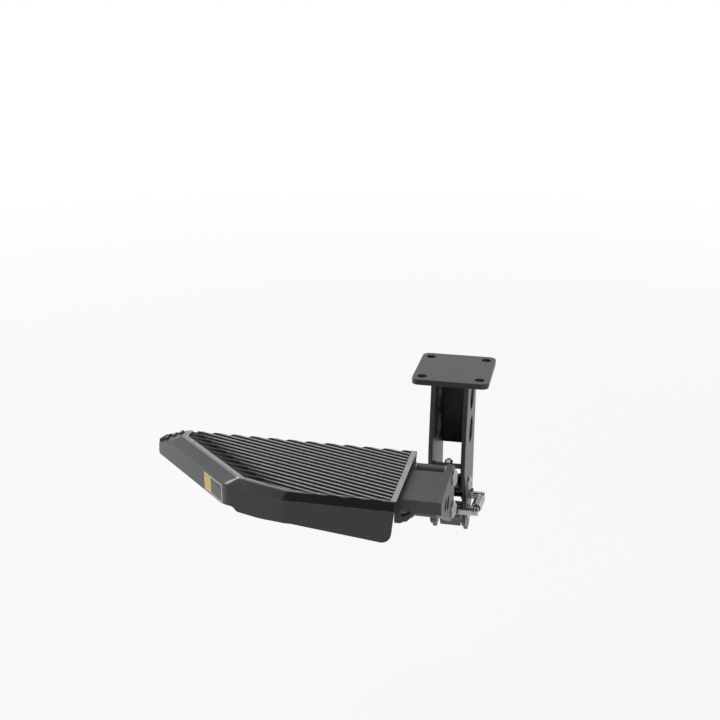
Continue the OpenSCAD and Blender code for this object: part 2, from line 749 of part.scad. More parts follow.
// Washer between a cheek and a pivot nut
module pivot_washer(x0, y, z) {
    difference() {
        bar_x(x0 - pin_washer_t, x0, y, z, pin_r + pin_washer_rim);
        bar_x(x0 - pin_washer_t - over, x0 + over, y, z, pin_thread_r + hole_slack);
    }
}

module deck_pin_lower() {
    pivot_pin(gap_x0 - yoke_cheek, yoke_x1, deck_pivot_y, lower_pivot_z);
}

module deck_pin_upper() {
    pivot_pin(gap_x0 - yoke_cheek, yoke_x1, deck_pivot_y, upper_pivot_z);
}

module deck_pin_nuts() {
    color([0.66, 0.65, 0.60]) placed() for (z = [lower_pivot_z, upper_pivot_z])
        pivot_nut(gap_x0 - yoke_cheek, deck_pivot_y, z);
}

module deck_pin_washers() {
    color([0.62, 0.62, 0.63]) placed() for (z = [lower_pivot_z, upper_pivot_z])
        pivot_washer(gap_x0 - yoke_cheek, deck_pivot_y, z);
}

module base_pin_lower() {
    pivot_pin(gap_x0 - plate_t, bracket_x1, base_y, base_lower_z);
}

module base_pin_upper() {
    pivot_pin(gap_x0 - plate_t, bracket_x1, base_y, base_upper_z);
}

module base_pin_nuts() {
    color([0.66, 0.65, 0.60]) placed() for (z = [base_lower_z, base_upper_z])
        pivot_nut(gap_x0 - plate_t, base_y, z);
}

module base_pin_washers() {
    color([0.62, 0.62, 0.63]) placed() for (z = [base_lower_z, base_upper_z])
        pivot_washer(gap_x0 - plate_t, base_y, z);
}

// Half the thickness of a link's blade at a distance from its bracket pivot
function blade_half(u) = (blade_root + (blade_tip - blade_root) * u / link_len) / 2;

// A cast link from its bracket pivot at the origin along +Y, with pockets from u0 on
module link_form(u0) {
    u1 = link_len - hub_r - pocket_edge;
    len = (u1 - u0 - middle_rib) / 2;
    w = hub_w - 2 * blade_waist - 2 * pocket_edge;
    mid_half = (blade_root + blade_tip) / 4;
    difference() {
        union() {
            plate_yz(-hub_w / 2, hub_w / 2) {
                circle(hub_r);
                translate([link_len, 0]) circle(hub_r);
            }
            plate_yz(-hub_w / 2 + blade_waist, hub_w / 2 - blade_waist)
                polygon([[0, -blade_root / 2], [link_len, -blade_tip / 2],
                    [link_len, blade_tip / 2], [0, blade_root / 2]]);
        }
        for (side = [-1, 1], u = [u0 + len / 2, u1 - len / 2])
            translate([0, 0, side * (mid_half + blade_root - pocket_depth)])
                rotate([side * atan((blade_tip - blade_root) / 2 / link_len), 0, 0])
                    translate([0, u, -blade_root]) linear_extrude(2 * blade_root)
                        soft_rect(w, len, pocket_r);
        for (u = [0, link_len]) bar_x(-hub_w, hub_w, u, 0, pin_r + fit + bush_wall);
    }
}

// A flanged bush; side is -1 or 1 along X
module bush(u, side) {
    translate([side * hub_w / 2, u, 0]) rotate([0, side * 90, 0]) difference() {
        union() {
            translate([0, 0, -bush_len]) cylinder(h = bush_len + bush_flange,
                r = pin_r + fit + bush_wall);
            cylinder(h = bush_flange, r = hub_r);
        }
        translate([0, 0, -bush_len - over])
            cylinder(h = bush_len + bush_flange + 2 * over, r = pin_r + fit);
    }
}

// Puts a link's own frame at a bracket pivot, stowed
module at_pivot(z) {
    translate([(gap_x0 + gap_x1) / 2, base_y, z]) rotate([stow_angle, 0, 0]) children();
}

module link_bushes(z) {
    color([0.72, 0.58, 0.30]) placed() at_pivot(z) for (u = [0, link_len], side = [-1, 1])
        bush(u, side);
}

// Lower link, with the heel that meets the deployed stop and the spring post's boss
module lower_link() {
    heel_in = pin_r + fit + bush_wall + over;
    color([0.40, 0.40, 0.41]) placed() at_pivot(base_lower_z) difference() {
        union() {
            link_form(hub_r + pocket_edge);
            rotate([heel_turn, 0, 0]) plate_yz(-hub_w / 2 + blade_waist, hub_w / 2 - blade_waist)
                translate([heel_in, -heel_w / 2]) square([heel_len - heel_in, heel_w]);
            bar_x(hub_w / 2 - post_stud - pocket_edge - blade_waist, hub_w / 2, spring_arm, 0,
                stud_r + post_boss_wall);
        }
        bar_x(hub_w / 2 - post_stud - over, hub_w, spring_arm, 0, stud_r);
    }
}

module lower_link_bushes() {
    link_bushes(base_lower_z);
}

module upper_link() {
    color([0.40, 0.40, 0.41]) placed() at_pivot(base_upper_z)
        link_form(bumper_reach + bumper_r + middle_rib / 2);
}

module upper_link_bushes() {
    link_bushes(base_upper_z);
}

// Turned spring post along X: a stud, a shoulder, a neck for the hook and a head
module spring_post(stud_x0, seat_x) {
    rotate([0, 90, 0]) {
        translate([0, 0, stud_x0]) cylinder(h = seat_x - stud_x0 + over, r = stud_r - fit);
        translate([0, 0, seat_x])
            cylinder(h = spring_x - wire_r - hook_room - seat_x, r = post_r);
        translate([0, 0, seat_x])
            cylinder(h = spring_x + wire_r + hook_room + over - seat_x, r = post_neck_r);
        translate([0, 0, spring_x + wire_r + hook_room]) cylinder(h = post_head, r = post_r);
    }
}

module link_spring_post() {
    p = along(stow_angle, spring_arm);
    face = (gap_x0 + gap_x1) / 2 + hub_w / 2;
    color([0.55, 0.55, 0.56]) placed() translate([0, base_y + p[0], base_lower_z + p[1]])
        spring_post(face - post_stud, face);
}

module bracket_spring_post() {
    p = along(mid_angle + 180, spring_arm);
    color([0.55, 0.55, 0.56]) placed() translate([0, base_y + p[0], base_lower_z + p[1]])
        spring_post(gap_x1 - nut_h(stud_r) - thread_past, bracket_x1);
}

module spring_post_nut() {
    p = along(mid_angle + 180, spring_arm);
    color([0.66, 0.65, 0.60]) placed() difference() {
        hex_x(gap_x1 - nut_h(stud_r), gap_x1, base_y + p[0], base_lower_z + p[1], hex_af(stud_r));
        bar_x(gap_x1 - 2 * nut_h(stud_r), bracket_x1, base_y + p[0], base_lower_z + p[1], stud_r);
    }
}

// Spring path along +Y from the bracket post at 0 to the link post at spring_len
coil_pitch = wire_d + coil_gap;
coil_half = coil_turns * coil_pitch / 2;
steps = 14;
function coil_point(t) = let (a = 360 * t) [coil_r * sin(a),
    spring_len / 2 - coil_half + t * coil_pitch, coil_r * cos(a)];
function loop_point(a) = [0, -loop_r * cos(a), loop_r * sin(a)];
function flipped(p) = [p[0], spring_len - p[1], p[2]];
loop_pts = [for (a = [-110 : 24 : 130]) loop_point(a)];
lead_in = [[0, loop_r + 0.85 * wire_d, 0.55 * coil_r],
    [-0.2 * wire_d, spring_len / 2 - coil_half - 1.15 * wire_d, 0.8 * coil_r]];
coil_pts = [for (i = [0 : coil_turns * steps]) coil_point(i / steps)];
spring_path = concat(loop_pts, lead_in, coil_pts,
    [for (i = [len(lead_in) - 1 : -1 : 0]) flipped(lead_in[i])],
    [for (i = [len(loop_pts) - 1 : -1 : 0]) flipped(loop_pts[i])]);

// A round wire swept along a path, its section carried without twist
function heading(p, i) = let (a = p[max(i - 1, 0)], b = p[min(i + 1, len(p) - 1)])
    (b - a) / norm(b - a);
function flat_to(v, t) = let (w = v - (v * t) * t) w / norm(w);
module wire(path, r, sides) {
    n = len(path);
    sides_at = [for (i = 0, v = flat_to([1, 0, 0], heading(path, 0)); i < n;
        i = i + 1, v = i < n ? flat_to(v, heading(path, i)) : v) v];
    points = [for (i = [0 : n - 1]) let (t = heading(path, i), u = sides_at[i], w = cross(t, u))
        for (k = [0 : sides - 1]) path[i] + r * (cos(360 * k / sides) * u
            + sin(360 * k / sides) * w)];
    walls = [for (i = [0 : n - 2], k = [0 : sides - 1]) let (m = (k + 1) % sides)
        [i * sides + k, (i + 1) * sides + k, (i + 1) * sides + m, i * sides + m]];
    ends = [[for (k = [0 : sides - 1]) k], [for (k = [sides - 1 : -1 : 0]) (n - 1) * sides + k]];
    polyhedron(points = points, faces = concat(walls, ends), convexity = 10);
}

// Extension spring that pulls the linkage to either end of its swing
module over_centre_spring() {
    p = along(mid_angle + 180, spring_arm);
    color([0.70, 0.70, 0.72]) placed() translate([spring_x, base_y + p[0], base_lower_z + p[1]])
        rotate([spring_turn, 0, 0]) wire(spring_path, wire_r, 6);
}

// Side outline of a bracket cheek as Y and Z
module bracket_outline() {
    q = along(mid_angle + 180, spring_arm);
    post = [base_y + q[0], base_lower_z + q[1]];
    top_z = flange_rise - flange_t;
    mid_y = base_y + flange_ahead;
    front = [base_y, base_upper_z] + along(stow_angle, bumper_reach + bumper_plate_len / 2);
    back = mid_y + flange_y / 2 - cheek_inset;
    foot_z = base_lower_z - heel_len - over;
    union() {
        polygon([[mid_y - flange_y / 2 + cheek_inset, top_z], [front[0], front[1] + cheek_front_top],
            [front[0], front[1] + cheek_front_low], [base_y - bracket_end_r, base_upper_z],
            [base_y - bracket_end_r, base_lower_z], [base_y, base_lower_z - bracket_end_r],
            [base_y + foot_start, foot_z], [base_y + foot_end, foot_z],
            post + along(-25, 1.01 * post_edge), post + [post_edge, 0],
            [back, base_upper_z + back_plate_low], [back, top_z]]);
        translate([base_y, base_lower_z]) circle(bracket_end_r);
        translate(post) circle(post_edge);
    }
}

// Cross plate above the stowed upper link, in that link's own frame
bumper_top = blade_half(bumper_reach) + bumper_h + seat_gap;
module bumper_plate() {
    at_pivot(base_upper_z) translate([-gap_w / 2 - over, bumper_reach - bumper_plate_len / 2,
        -bumper_top - plate_t]) cube([gap_w + 2 * over, bumper_plate_len, plate_t]);
}

// Middle of the deployed stop's sleeve, just ahead of the heel when deployed
stop_lead = asin((heel_w / 2 + stop_sleeve_r + seat_gap) / stop_reach);
stop_at = [base_y, base_lower_z] + along(stow_angle + swing + heel_turn + stop_lead, stop_reach);

// Folded and welded steel bracket
module mount_bracket() {
    p = along(mid_angle + 180, spring_arm);
    mid_y = base_y + flange_ahead;
    top_z = flange_rise - flange_t;
    mid_x = (gap_x0 + gap_x1) / 2;
    x0 = gap_x0 - plate_t - over;
    x1 = bracket_x1 + over;
    back = mid_y + flange_y / 2 - cheek_inset - plate_t;
    back_z = base_upper_z + back_plate_low;
    color([0.17, 0.17, 0.18]) placed() difference() {
        union() {
            plate_yz(gap_x0 - plate_t, gap_x0) bracket_outline();
            plate_yz(gap_x1, bracket_x1) bracket_outline();
            translate([mid_x, mid_y, top_z]) linear_extrude(flange_t)
                soft_rect(flange_x, flange_y, flange_r);
            translate([gap_x0 - over, back, back_z])
                cube([gap_w + 2 * over, plate_t, top_z + over - back_z]);
            bumper_plate();
        }
        for (i = [-1, 1], j = [-1, 1])
            translate([mid_x + i * hole_x / 2, mid_y + j * hole_y / 2, top_z - over])
                cylinder(h = flange_t + 2 * over, r = hole_r);
        for (z = [base_upper_z, base_lower_z]) bar_x(x0, x1, base_y, z, pin_r + fit);
        bar_x(x0, x1, stop_at[0], stop_at[1], stop_bolt_r + fit);
        bar_x(mid_x, x1, base_y + p[0], base_lower_z + p[1], stud_r);
        for (z = [0, 2 * light_r + light_gap])
            bar_x(x0, x1, mid_y, top_z - light_drop - z, light_r);
        at_pivot(base_upper_z) translate([0, bumper_reach, -bumper_top - plate_t - over])
            cylinder(h = plate_t + 2 * over, r = bumper_stud_r + hole_slack);
    }
}

// Cross bolt of the deployed stop
module stop_bolt() {
    x0 = gap_x0 - plate_t;
    color([0.55, 0.55, 0.56]) placed() {
        bar_x(x0 - nut_h(stop_bolt_r) - thread_past, bracket_x1, stop_at[0], stop_at[1],
            stop_bolt_r);
        hex_x(bracket_x1, bracket_x1 + head_h(stop_bolt_r), stop_at[0], stop_at[1],
            hex_af(stop_bolt_r));
    }
}

// Rubber sleeve that the lower link's heel lands on
module stop_sleeve() {
    color([0.06, 0.06, 0.06]) placed() difference() {
        bar_x(gap_x0 + seat_gap, gap_x1 - seat_gap, stop_at[0], stop_at[1], stop_sleeve_r);
        bar_x(gap_x0, gap_x1, stop_at[0], stop_at[1], stop_bolt_r + fit);
    }
}

module stop_nut() {
    x0 = gap_x0 - plate_t;
    color([0.66, 0.65, 0.60]) placed() difference() {
        hex_x(x0 - nut_h(stop_bolt_r), x0, stop_at[0], stop_at[1], hex_af(stop_bolt_r));
        bar_x(x0 - far, x0 + over, stop_at[0], stop_at[1], stop_bolt_r + fit);
    }
}

// Rubber bumper with a bonded stud that the stowed upper link rests against
module stow_bumper() {
    stud = plate_t + nut_h(bumper_stud_r) + thread_past;
    color([0.06, 0.06, 0.06]) placed() at_pivot(base_upper_z)
        translate([0, bumper_reach, -bumper_top]) {
            cylinder(h = bumper_h, r1 = bumper_r, r2 = bumper_r - bumper_taper);
            translate([0, 0, -stud]) cylinder(h = stud + over, r = bumper_stud_r);
        }
}

module stow_bumper_nut() {
    color([0.66, 0.65, 0.60]) placed() at_pivot(base_upper_z)
        translate([0, bumper_reach, -bumper_top - plate_t - nut_h(bumper_stud_r)]) difference() {
            cylinder(h = nut_h(bumper_stud_r), d = hex_af(bumper_stud_r) / cos(30), $fn = 6);
            translate([0, 0, -far / 2]) cylinder(h = far, r = bumper_stud_r + fit);
        }
}

deck_casting();
hinge_yoke();
yoke_bolts();
yoke_washers();
deck_pin_lower();
deck_pin_upper();
deck_pin_nuts();
deck_pin_washers();
lower_link();
lower_link_bushes();
upper_link();
upper_link_bushes();
link_spring_post();
over_centre_spring();
mount_bracket();
base_pin_lower();
base_pin_upper();
base_pin_nuts();
base_pin_washers();
stop_bolt();
stop_sleeve();
stop_nut();
stow_bumper();
stow_bumper_nut();
bracket_spring_post();
spring_post_nut();
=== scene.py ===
import math
import bmesh
import bpy
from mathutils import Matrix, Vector


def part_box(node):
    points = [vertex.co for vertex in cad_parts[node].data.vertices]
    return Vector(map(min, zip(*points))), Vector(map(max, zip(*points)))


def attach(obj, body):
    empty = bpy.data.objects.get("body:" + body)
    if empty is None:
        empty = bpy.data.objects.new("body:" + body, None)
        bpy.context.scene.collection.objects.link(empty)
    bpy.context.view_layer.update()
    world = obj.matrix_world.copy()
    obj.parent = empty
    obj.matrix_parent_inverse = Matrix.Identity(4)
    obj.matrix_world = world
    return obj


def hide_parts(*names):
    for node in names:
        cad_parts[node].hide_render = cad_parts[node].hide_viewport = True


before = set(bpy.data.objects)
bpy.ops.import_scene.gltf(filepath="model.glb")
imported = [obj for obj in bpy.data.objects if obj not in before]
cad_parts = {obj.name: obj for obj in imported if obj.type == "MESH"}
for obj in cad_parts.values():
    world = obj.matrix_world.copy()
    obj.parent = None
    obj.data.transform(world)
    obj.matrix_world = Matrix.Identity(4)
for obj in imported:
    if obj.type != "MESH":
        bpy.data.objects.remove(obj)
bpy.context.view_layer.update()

# Studio: the camera looks down on the tread from beyond its front edge, as in the photograph.
# A small key lamp high at the left, a wide one over the back, two small ones beside the free
# end, a soft one in front, a pale floor and a white backdrop, which glosses see dark overhead.
CAMERA_AT = Vector((0.1748, -1.3940, 0.5180))
CAMERA_LOOKS = Vector((-0.2035, 0.9180, -0.3404))
LENS, SENSOR = 54.0, 36.0
SEEN_FROM, SEEN_TO = 0.05, 300.0
STEP_MIDDLE = Vector((-0.20, -0.25, -0.06))
OVERHEAD_FROM, OVERHEAD_TO, OVERHEAD_SHADE = 0.45, 0.92, 0.92
SOFT_LEVEL, SOFT_LEFT, SOFT_FROM, SOFT_TO = 0.16, 0.40, -0.7, 0.9
FLOOR_Z, FLOOR_HALF = -0.47, 70.0
FLOOR_GLOW, GLOW_FROM, GLOW_TO = 0.86, 0.8, 4.0
PAPER_DARK, PAPER_PALE, PAPER_ROUGH, PAPER_CLOUDS = 0.84, 0.88, 0.9, 3.0


class Flow:
    """A socket of a node tree. Arithmetic on it adds Math nodes to the same tree."""

    def __init__(self, tree, socket=None):
        self.tree, self.socket = tree, socket

    def node(self, kind, settings=(), inputs=(), out=0):
        """Adds a node: its settings first, then the values or links of its sockets."""
        made = self.tree.nodes.new(kind)
        for name, value in dict(settings).items():
            setattr(made, name, value)
        for name, value in dict(inputs).items():
            if isinstance(value, Flow):
                self.tree.links.new(value.socket, made.inputs[name])
            else:
                made.inputs[name].default_value = value
        return Flow(self.tree, made.outputs[out])

    def other(self, out):
        """Another output of the node that this socket belongs to."""
        return Flow(self.tree, self.socket.node.outputs[out])

    def math(self, operation, a, b=0.0):
        return self.node("ShaderNodeMath", {"operation": operation}, {0: a, 1: b})

    def __add__(self, value):
        return self.math("ADD", self, value)

    def __sub__(self, value):
        return self.math("SUBTRACT", self, value)

    def __rsub__(self, value):
        return self.math("SUBTRACT", value, self)

    def __mul__(self, value):
        return self.math("MULTIPLY", self, value)

    def __truediv__(self, value):
        return self.math("DIVIDE", self, value)

    __radd__, __rmul__ = __add__, __mul__

    def rise(self, low, high):
        """0 below low, 1 above high and a smooth step between them."""
        return self.node("ShaderNodeMapRange", {"interpolation_type": "SMOOTHSTEP"},
                         {"Value": self, "From Min": low, "From Max": high})

    def mix(self, a, b):
        """Colour a where this is 0 and colour b where it is 1."""
        return self.node("ShaderNodeMix", {"data_type": "RGBA"}, {0: self, 6: a, 7: b}, out=2)

    def noise(self, scale, detail=2.0, roughness=0.5):
        """Cloudy noise at this place, with that many lumps to the metre."""
        return self.node("ShaderNodeTexNoise", inputs={"Vector": self, "Scale": scale,
                         "Detail": detail, "Roughness": roughness})


def grey(level):
    return (level, level, level, 1.0)


def finish(name):
    """A new material, its place on the piece and its surface shader."""
    made = bpy.data.materials.new(name)
    made.use_nodes = True
    place = Flow(made.node_tree).node("ShaderNodeTexCoord", out="Object")
    return made, place, made.node_tree.nodes["Principled BSDF"]


def feed(place, shader, **sockets):
    """Sets or links the shader's sockets; an underscore in a name stands for a space."""
    for name, value in sockets.items():
        socket = shader.inputs[name.replace("_", " ")]
        if isinstance(value, Flow):
            place.tree.links.new(value.socket, socket)
        else:
            socket.default_value = value


def seen_rays(tree):
    """1 for the rays that show the background: straight, in a gloss and through glass."""
    straight = Flow(tree).node("ShaderNodeLightPath", out="Is Camera Ray")
    return straight.math("MINIMUM", straight + straight.other("Is Glossy Ray")
                         + straight.other("Is Transmission Ray"), 1.0)


scene = bpy.context.scene
scene.view_settings.view_transform = "Standard"
camera = bpy.data.objects.new("camera", bpy.data.cameras.new("camera"))
camera.data.sensor_fit = "HORIZONTAL"
camera.data.sensor_width = SENSOR
camera.data.lens = LENS
camera.data.clip_start, camera.data.clip_end = SEEN_FROM, SEEN_TO
camera.location = CAMERA_AT
camera.rotation_mode = "QUATERNION"
camera.rotation_quaternion = CAMERA_LOOKS.to_track_quat("-Z", "Y")
scene.collection.objects.link(camera)
scene.camera = camera

# Each lamp's name, place, side in metres and power in watts
for name, place, side, power in (
        ("key_lamp", (-1.80, 0.19, 1.69), 0.45, 13.0),
        ("back_lamp", (-0.60, 1.30, 2.10), 2.0, 15.0),
        ("bevel_lamp", (-0.87, 0.12, 0.27), 0.25, 0.12),
        ("skirt_lamp", (-0.90, -0.02, -0.27), 0.30, 0.06),
        ("front_lamp", (0.90, -2.20, 0.90), 1.4, 8.0)):
    lamp = bpy.data.objects.new(name, bpy.data.lights.new(name, "AREA"))
    lamp.data.shape = "SQUARE"
    lamp.data.size = side
    lamp.data.energy = power
    lamp.location = place
    lamp.rotation_euler = (STEP_MIDDLE - Vector(place)).to_track_quat("-Z", "Y").to_euler()
    scene.collection.objects.link(lamp)

world = bpy.data.worlds.new("studio")
world.use_nodes = True
scene.world = world
seen = seen_rays(world.node_tree)
way = seen.node("ShaderNodeSeparateXYZ", inputs={
    0: seen.node("ShaderNodeTexCoord", out="Generated")})
straight = seen.node("ShaderNodeLightPath", out="Is Camera Ray")
overhead = way.other("Z").rise(OVERHEAD_FROM, OVERHEAD_TO)
backdrop = 1.0 - overhead * OVERHEAD_SHADE * (1.0 - straight)
soft = SOFT_LEVEL + (way * -1.0).rise(SOFT_FROM, SOFT_TO) * SOFT_LEFT
level = soft * (1.0 - seen) + backdrop * seen
background = world.node_tree.nodes["Background"]
world.node_tree.links.new(level.socket, background.inputs["Strength"])
background.inputs["Color"].default_value = grey(1.0)

floor_mesh = bpy.data.meshes.new("floor")
floor_mesh.from_pydata([(x * FLOOR_HALF, y * FLOOR_HALF, FLOOR_Z) for x, y in
                        ((-1, -1), (1, -1), (1, 1), (-1, 1))], [], [(0, 1, 2, 3)])
floor = bpy.data.objects.new("floor", floor_mesh)
scene.collection.objects.link(floor)
paper, paper_place, paper_shader = finish("floor_paper")
feed(paper_place, paper_shader, Roughness=PAPER_ROUGH,
     Base_Color=paper_place.noise(PAPER_CLOUDS).mix(grey(PAPER_DARK), grey(PAPER_PALE)))
glow = paper_place.node("ShaderNodeEmission", inputs={"Color": grey(1.0), "Strength": 1.0})
lit = Flow(paper.node_tree, paper_shader.outputs[0])
away = paper_place.node("ShaderNodeVectorMath", {"operation": "LENGTH"},
                        {0: paper_place}, out="Value")
share = away.rise(GLOW_FROM, GLOW_TO) * (1.0 - FLOOR_GLOW) + FLOOR_GLOW
pale = paper_place.node("ShaderNodeMixShader", inputs={
    0: seen_rays(paper.node_tree) * share, 1: lit, 2: glow})
paper.node_tree.links.new(pale.socket,
                          paper.node_tree.nodes["Material Output"].inputs["Surface"])
floor_mesh.materials.append(paper)


# Deck casting: a die-cast aluminium tread with bevelled edges, a ribbed recess and a deep
# skirt, screwed onto the hinge yoke. Its satin dark powder coat is lighter on the end's teeth
# from rubbing wear. On the rim, the ribs' tops and the sharp edges it is lighter partly from wear
# and partly as a painted reflection and painted edge highlights, and the hip at the corner has a
# painted highlight. The recess keeps a rough cast floor.
DECK_LOW, DECK_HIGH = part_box("deck_casting")
DECK_LENGTH, FRONT_DEPTH = 0.193, 0.032
DECK_CORNER = Vector((DECK_HIGH.x - DECK_LENGTH, DECK_LOW.y + FRONT_DEPTH, DECK_HIGH.z))
CORNER_OUT = Vector((-0.6776, -0.7358, 0.0))
RIB_WAY = Vector((0.9494, -0.3140, 0.0))
FRONT_WAY, NOSE = Vector((0.9967, -0.0818, 0.0)), DECK_CORNER + Vector((0.065, -0.0215, 0.0))
TREAD_DEPTH, RIB_SUNK = 0.0026, 0.0002
RIM_CORNER, RIM_HINGE, SMOOTH_FLOOR = 0.005, 0.007, 0.017
HIP_WAY = Vector((-0.938, -0.346, 0.0))
FREE_END_X, END_SLOPE = DECK_CORNER.x - 0.1075, 0.43
RIB_PITCH, RIB_FIRST, RIB_HALF = 0.0078, 0.0048, 0.0017
# The paler greys of the deck's tops and edges are partly wear and partly painted highlight.
DECK_GREY, RUBBED_AND_LIT_GREY, EDGE_RUBBED_AND_LIT = 0.013, 0.36, 0.09
DECK_ROUGH, EDGE_ROUGH, FLOOR_ROUGH, FLOOR_GLOSS = 0.28, 0.36, 0.55, 0.25
DECK_PEEL, CAST_PEEL = 0.000006, 0.00004
CLOUDS, SCUFFS, COARSE_PEEL, FINE_PEEL = 14.0, 170.0, 380.0, 1500.0
EDGE_WORN, SCUFF_LEAST, BARE_METAL, BARE_SHINE = 0.75, 0.72, 0.3, 0.06
TOP_FROM, TOP_TO, LINE_SOFT = 0.0009, 0.0001, 0.0001
TIP_TAPER, TIP_FADE, RIB_SOFT = 0.022, 0.008, 0.0003
CORNER_RIM_FROM, CORNER_RIM_TO, FRONT_RIM_FROM, FRONT_RIM_TO = 0.006, 0.004, 0.0014, 0.0022
# The strip along the hip at the corner is a painted highlight, not wear.
HIP_HALF, HIP_SIDE, HIP_LONG, HIP_END, HIP_HIGHLIGHT = 0.0010, 0.0034, 0.011, 0.016, 0.28
TEETH_FROM, TEETH_TO, TEETH_WORN = 0.0012, 0.0018, 0.35
MERGE_GAP, FLAT_TURN = 2e-6, math.radians(0.35)
DECK_ROUND, DECK_SHARP = 0.0004, 20
LEVEL_FACE, FLOOR_BAND = 0.95, 0.0002


def powder_coat(name, tone, paler_tone, roughness, peel, edge=False, paler_where=None, gloss=0.5):
    """Powder coat with orange peel, pits and faint clouds, paler on an edge from scuffed wear and
    where the given function says; on the deck that function paints rubbing wear and highlights."""
    made, place, shader = finish(name)
    cloud = place.noise(CLOUDS, 4.0)
    scuff = place.noise(SCUFFS, 6.0, 0.7)
    lightened = scuff.rise(0.38, 0.60) * (EDGE_WORN if edge else 0.0)
    if paler_where is not None:
        rubbed_and_lit = paler_where(place) * (SCUFF_LEAST + scuff.rise(0.35, 0.6) * (1.0 - SCUFF_LEAST))
        lightened = lightened.math("MAXIMUM", lightened, rubbed_and_lit)
    skin = cloud.rise(0.3, 0.7).mix(grey(tone * 0.9), grey(tone * 1.12))
    relief = place.noise(COARSE_PEEL) + place.noise(FINE_PEEL) * 0.5
    bump = place.node("ShaderNodeBump", inputs={
        "Strength": 1.0, "Distance": peel, "Height": relief})
    feed(place, shader, Base_Color=lightened.mix(skin, grey(paler_tone)), Metallic=lightened * BARE_METAL,
         Roughness=cloud * 0.1 + (roughness - 0.05) - lightened * BARE_SHINE, Normal=bump,
         Specular_IOR_Level=gloss)
    return made


def ahead(spot, start, way):
    """How far a place lies from a start along a way, level."""
    return (spot - start.x) * way.x + (spot.other("Y") - start.y) * way.y


def left_of(way):
    """The level way at a quarter turn to the left of a way."""
    return Vector((-way.y, way.x, 0.0))


def wear_and_highlight_tops(place):
    """Where the deck's coat turns paler: the end's teeth from rubbing wear; the rim and the rib
    tops, which narrow to a point at the ribs' left tips, partly from wear and partly as a painted
    reflection; and the hip at the corner as a painted highlight."""
    spot = place.node("ShaderNodeSeparateXYZ", inputs={0: place})
    x, z = spot, spot.other("Z")
    rib_top = DECK_HIGH.z - RIB_SUNK
    top = z.rise(rib_top - TOP_FROM, rib_top - TOP_TO)
    inward = ahead(spot, DECK_CORNER, -CORNER_OUT)
    tips = RIM_CORNER + SMOOTH_FLOOR
    across = (ahead(spot, DECK_CORNER, left_of(RIB_WAY)) - RIB_FIRST) / RIB_PITCH + 0.5
    off_middle = across.math("FRACT", across) - 0.5
    off_middle = off_middle.math("ABSOLUTE", off_middle) * RIB_PITCH
    wedge = inward.rise(tips - 0.001, tips + TIP_TAPER) * RIB_HALF
    ribs = (wedge - off_middle).rise(-LINE_SOFT, RIB_SOFT) * inward.rise(tips, tips + TIP_FADE)
    front = ahead(spot, DECK_CORNER, left_of(RIB_WAY))
    front = front.math("MINIMUM", front, ahead(spot, NOSE, left_of(FRONT_WAY)))
    hinge_rim_x = DECK_HIGH.x - RIM_HINGE
    rim = 3.0 - inward.rise(tips - CORNER_RIM_FROM, tips - CORNER_RIM_TO) \
        - front.rise(FRONT_RIM_FROM, FRONT_RIM_TO) \
        - (1.0 - x.rise(hinge_rim_x - LINE_SOFT, hinge_rim_x + LINE_SOFT))
    # Painted highlight: a pale strip along the rounded hip at the corner.
    out = ahead(spot, DECK_CORNER, HIP_WAY)
    beside = ahead(spot, DECK_CORNER, left_of(HIP_WAY))
    hip = (1.0 - beside.math("ABSOLUTE", beside).rise(HIP_HALF, HIP_SIDE)) \
        * out.rise(0.0, 0.001) * (1.0 - out.rise(HIP_LONG, HIP_END))
    above_end = z - DECK_HIGH.z + (FREE_END_X - x) * END_SLOPE
    teeth = above_end.rise(TEETH_FROM, TEETH_TO) * (1.0 - x.rise(FREE_END_X - 0.001, FREE_END_X))
    # The rim and the rib tops are paler partly from wear and partly as a painted reflection of a
    # bright sky.
    lightened = top * (ribs + rim) + teeth * TEETH_WORN + hip * HIP_HIGHLIGHT
    return lightened.math("MINIMUM", lightened, 1.0)


def plain_copy(node):
    """The CAD node's mesh with its loose triangles joined and its flat faces made whole."""
    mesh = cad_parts[node].data.copy()
    shape = bmesh.new()
    shape.from_mesh(mesh)
    bmesh.ops.remove_doubles(shape, verts=shape.verts, dist=MERGE_GAP)
    bmesh.ops.dissolve_limit(shape, angle_limit=FLAT_TURN, verts=shape.verts,
                             edges=shape.edges)
    shape.to_mesh(mesh)
    shape.free()
    return mesh


def settle(piece):
    """Turns a piece's modifiers into plain mesh and takes them off."""
    bpy.context.view_layer.update()
    seen_now = piece.evaluated_get(bpy.context.evaluated_depsgraph_get())
    piece.data = bpy.data.meshes.new_from_object(seen_now)
    piece.modifiers.clear()


def keep_outer_edges(mesh, skin, edge):
    """Gives the rounded faces of inner corners the skin's finish again, as nothing rubs there and
    no edge highlight is painted there.
    """
    shape = bmesh.new()
    shape.from_mesh(mesh)
    for face in shape.faces:
        if face.material_index != edge:
            continue
        middle = face.calc_center_median()
        lean = sum((beside.calc_center_median() - middle).dot(face.normal)
                   for line in face.edges for beside in line.link_faces
                   if beside.material_index == skin)
        if lean > 0:
            face.material_index = skin
    shape.to_mesh(mesh)
    shape.free()


def joined(piece, body, node=None):
    """Puts a finished piece on its body and the CAD node that it stands for."""
    if node:
        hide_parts(node)
    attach(piece, body)
    return piece


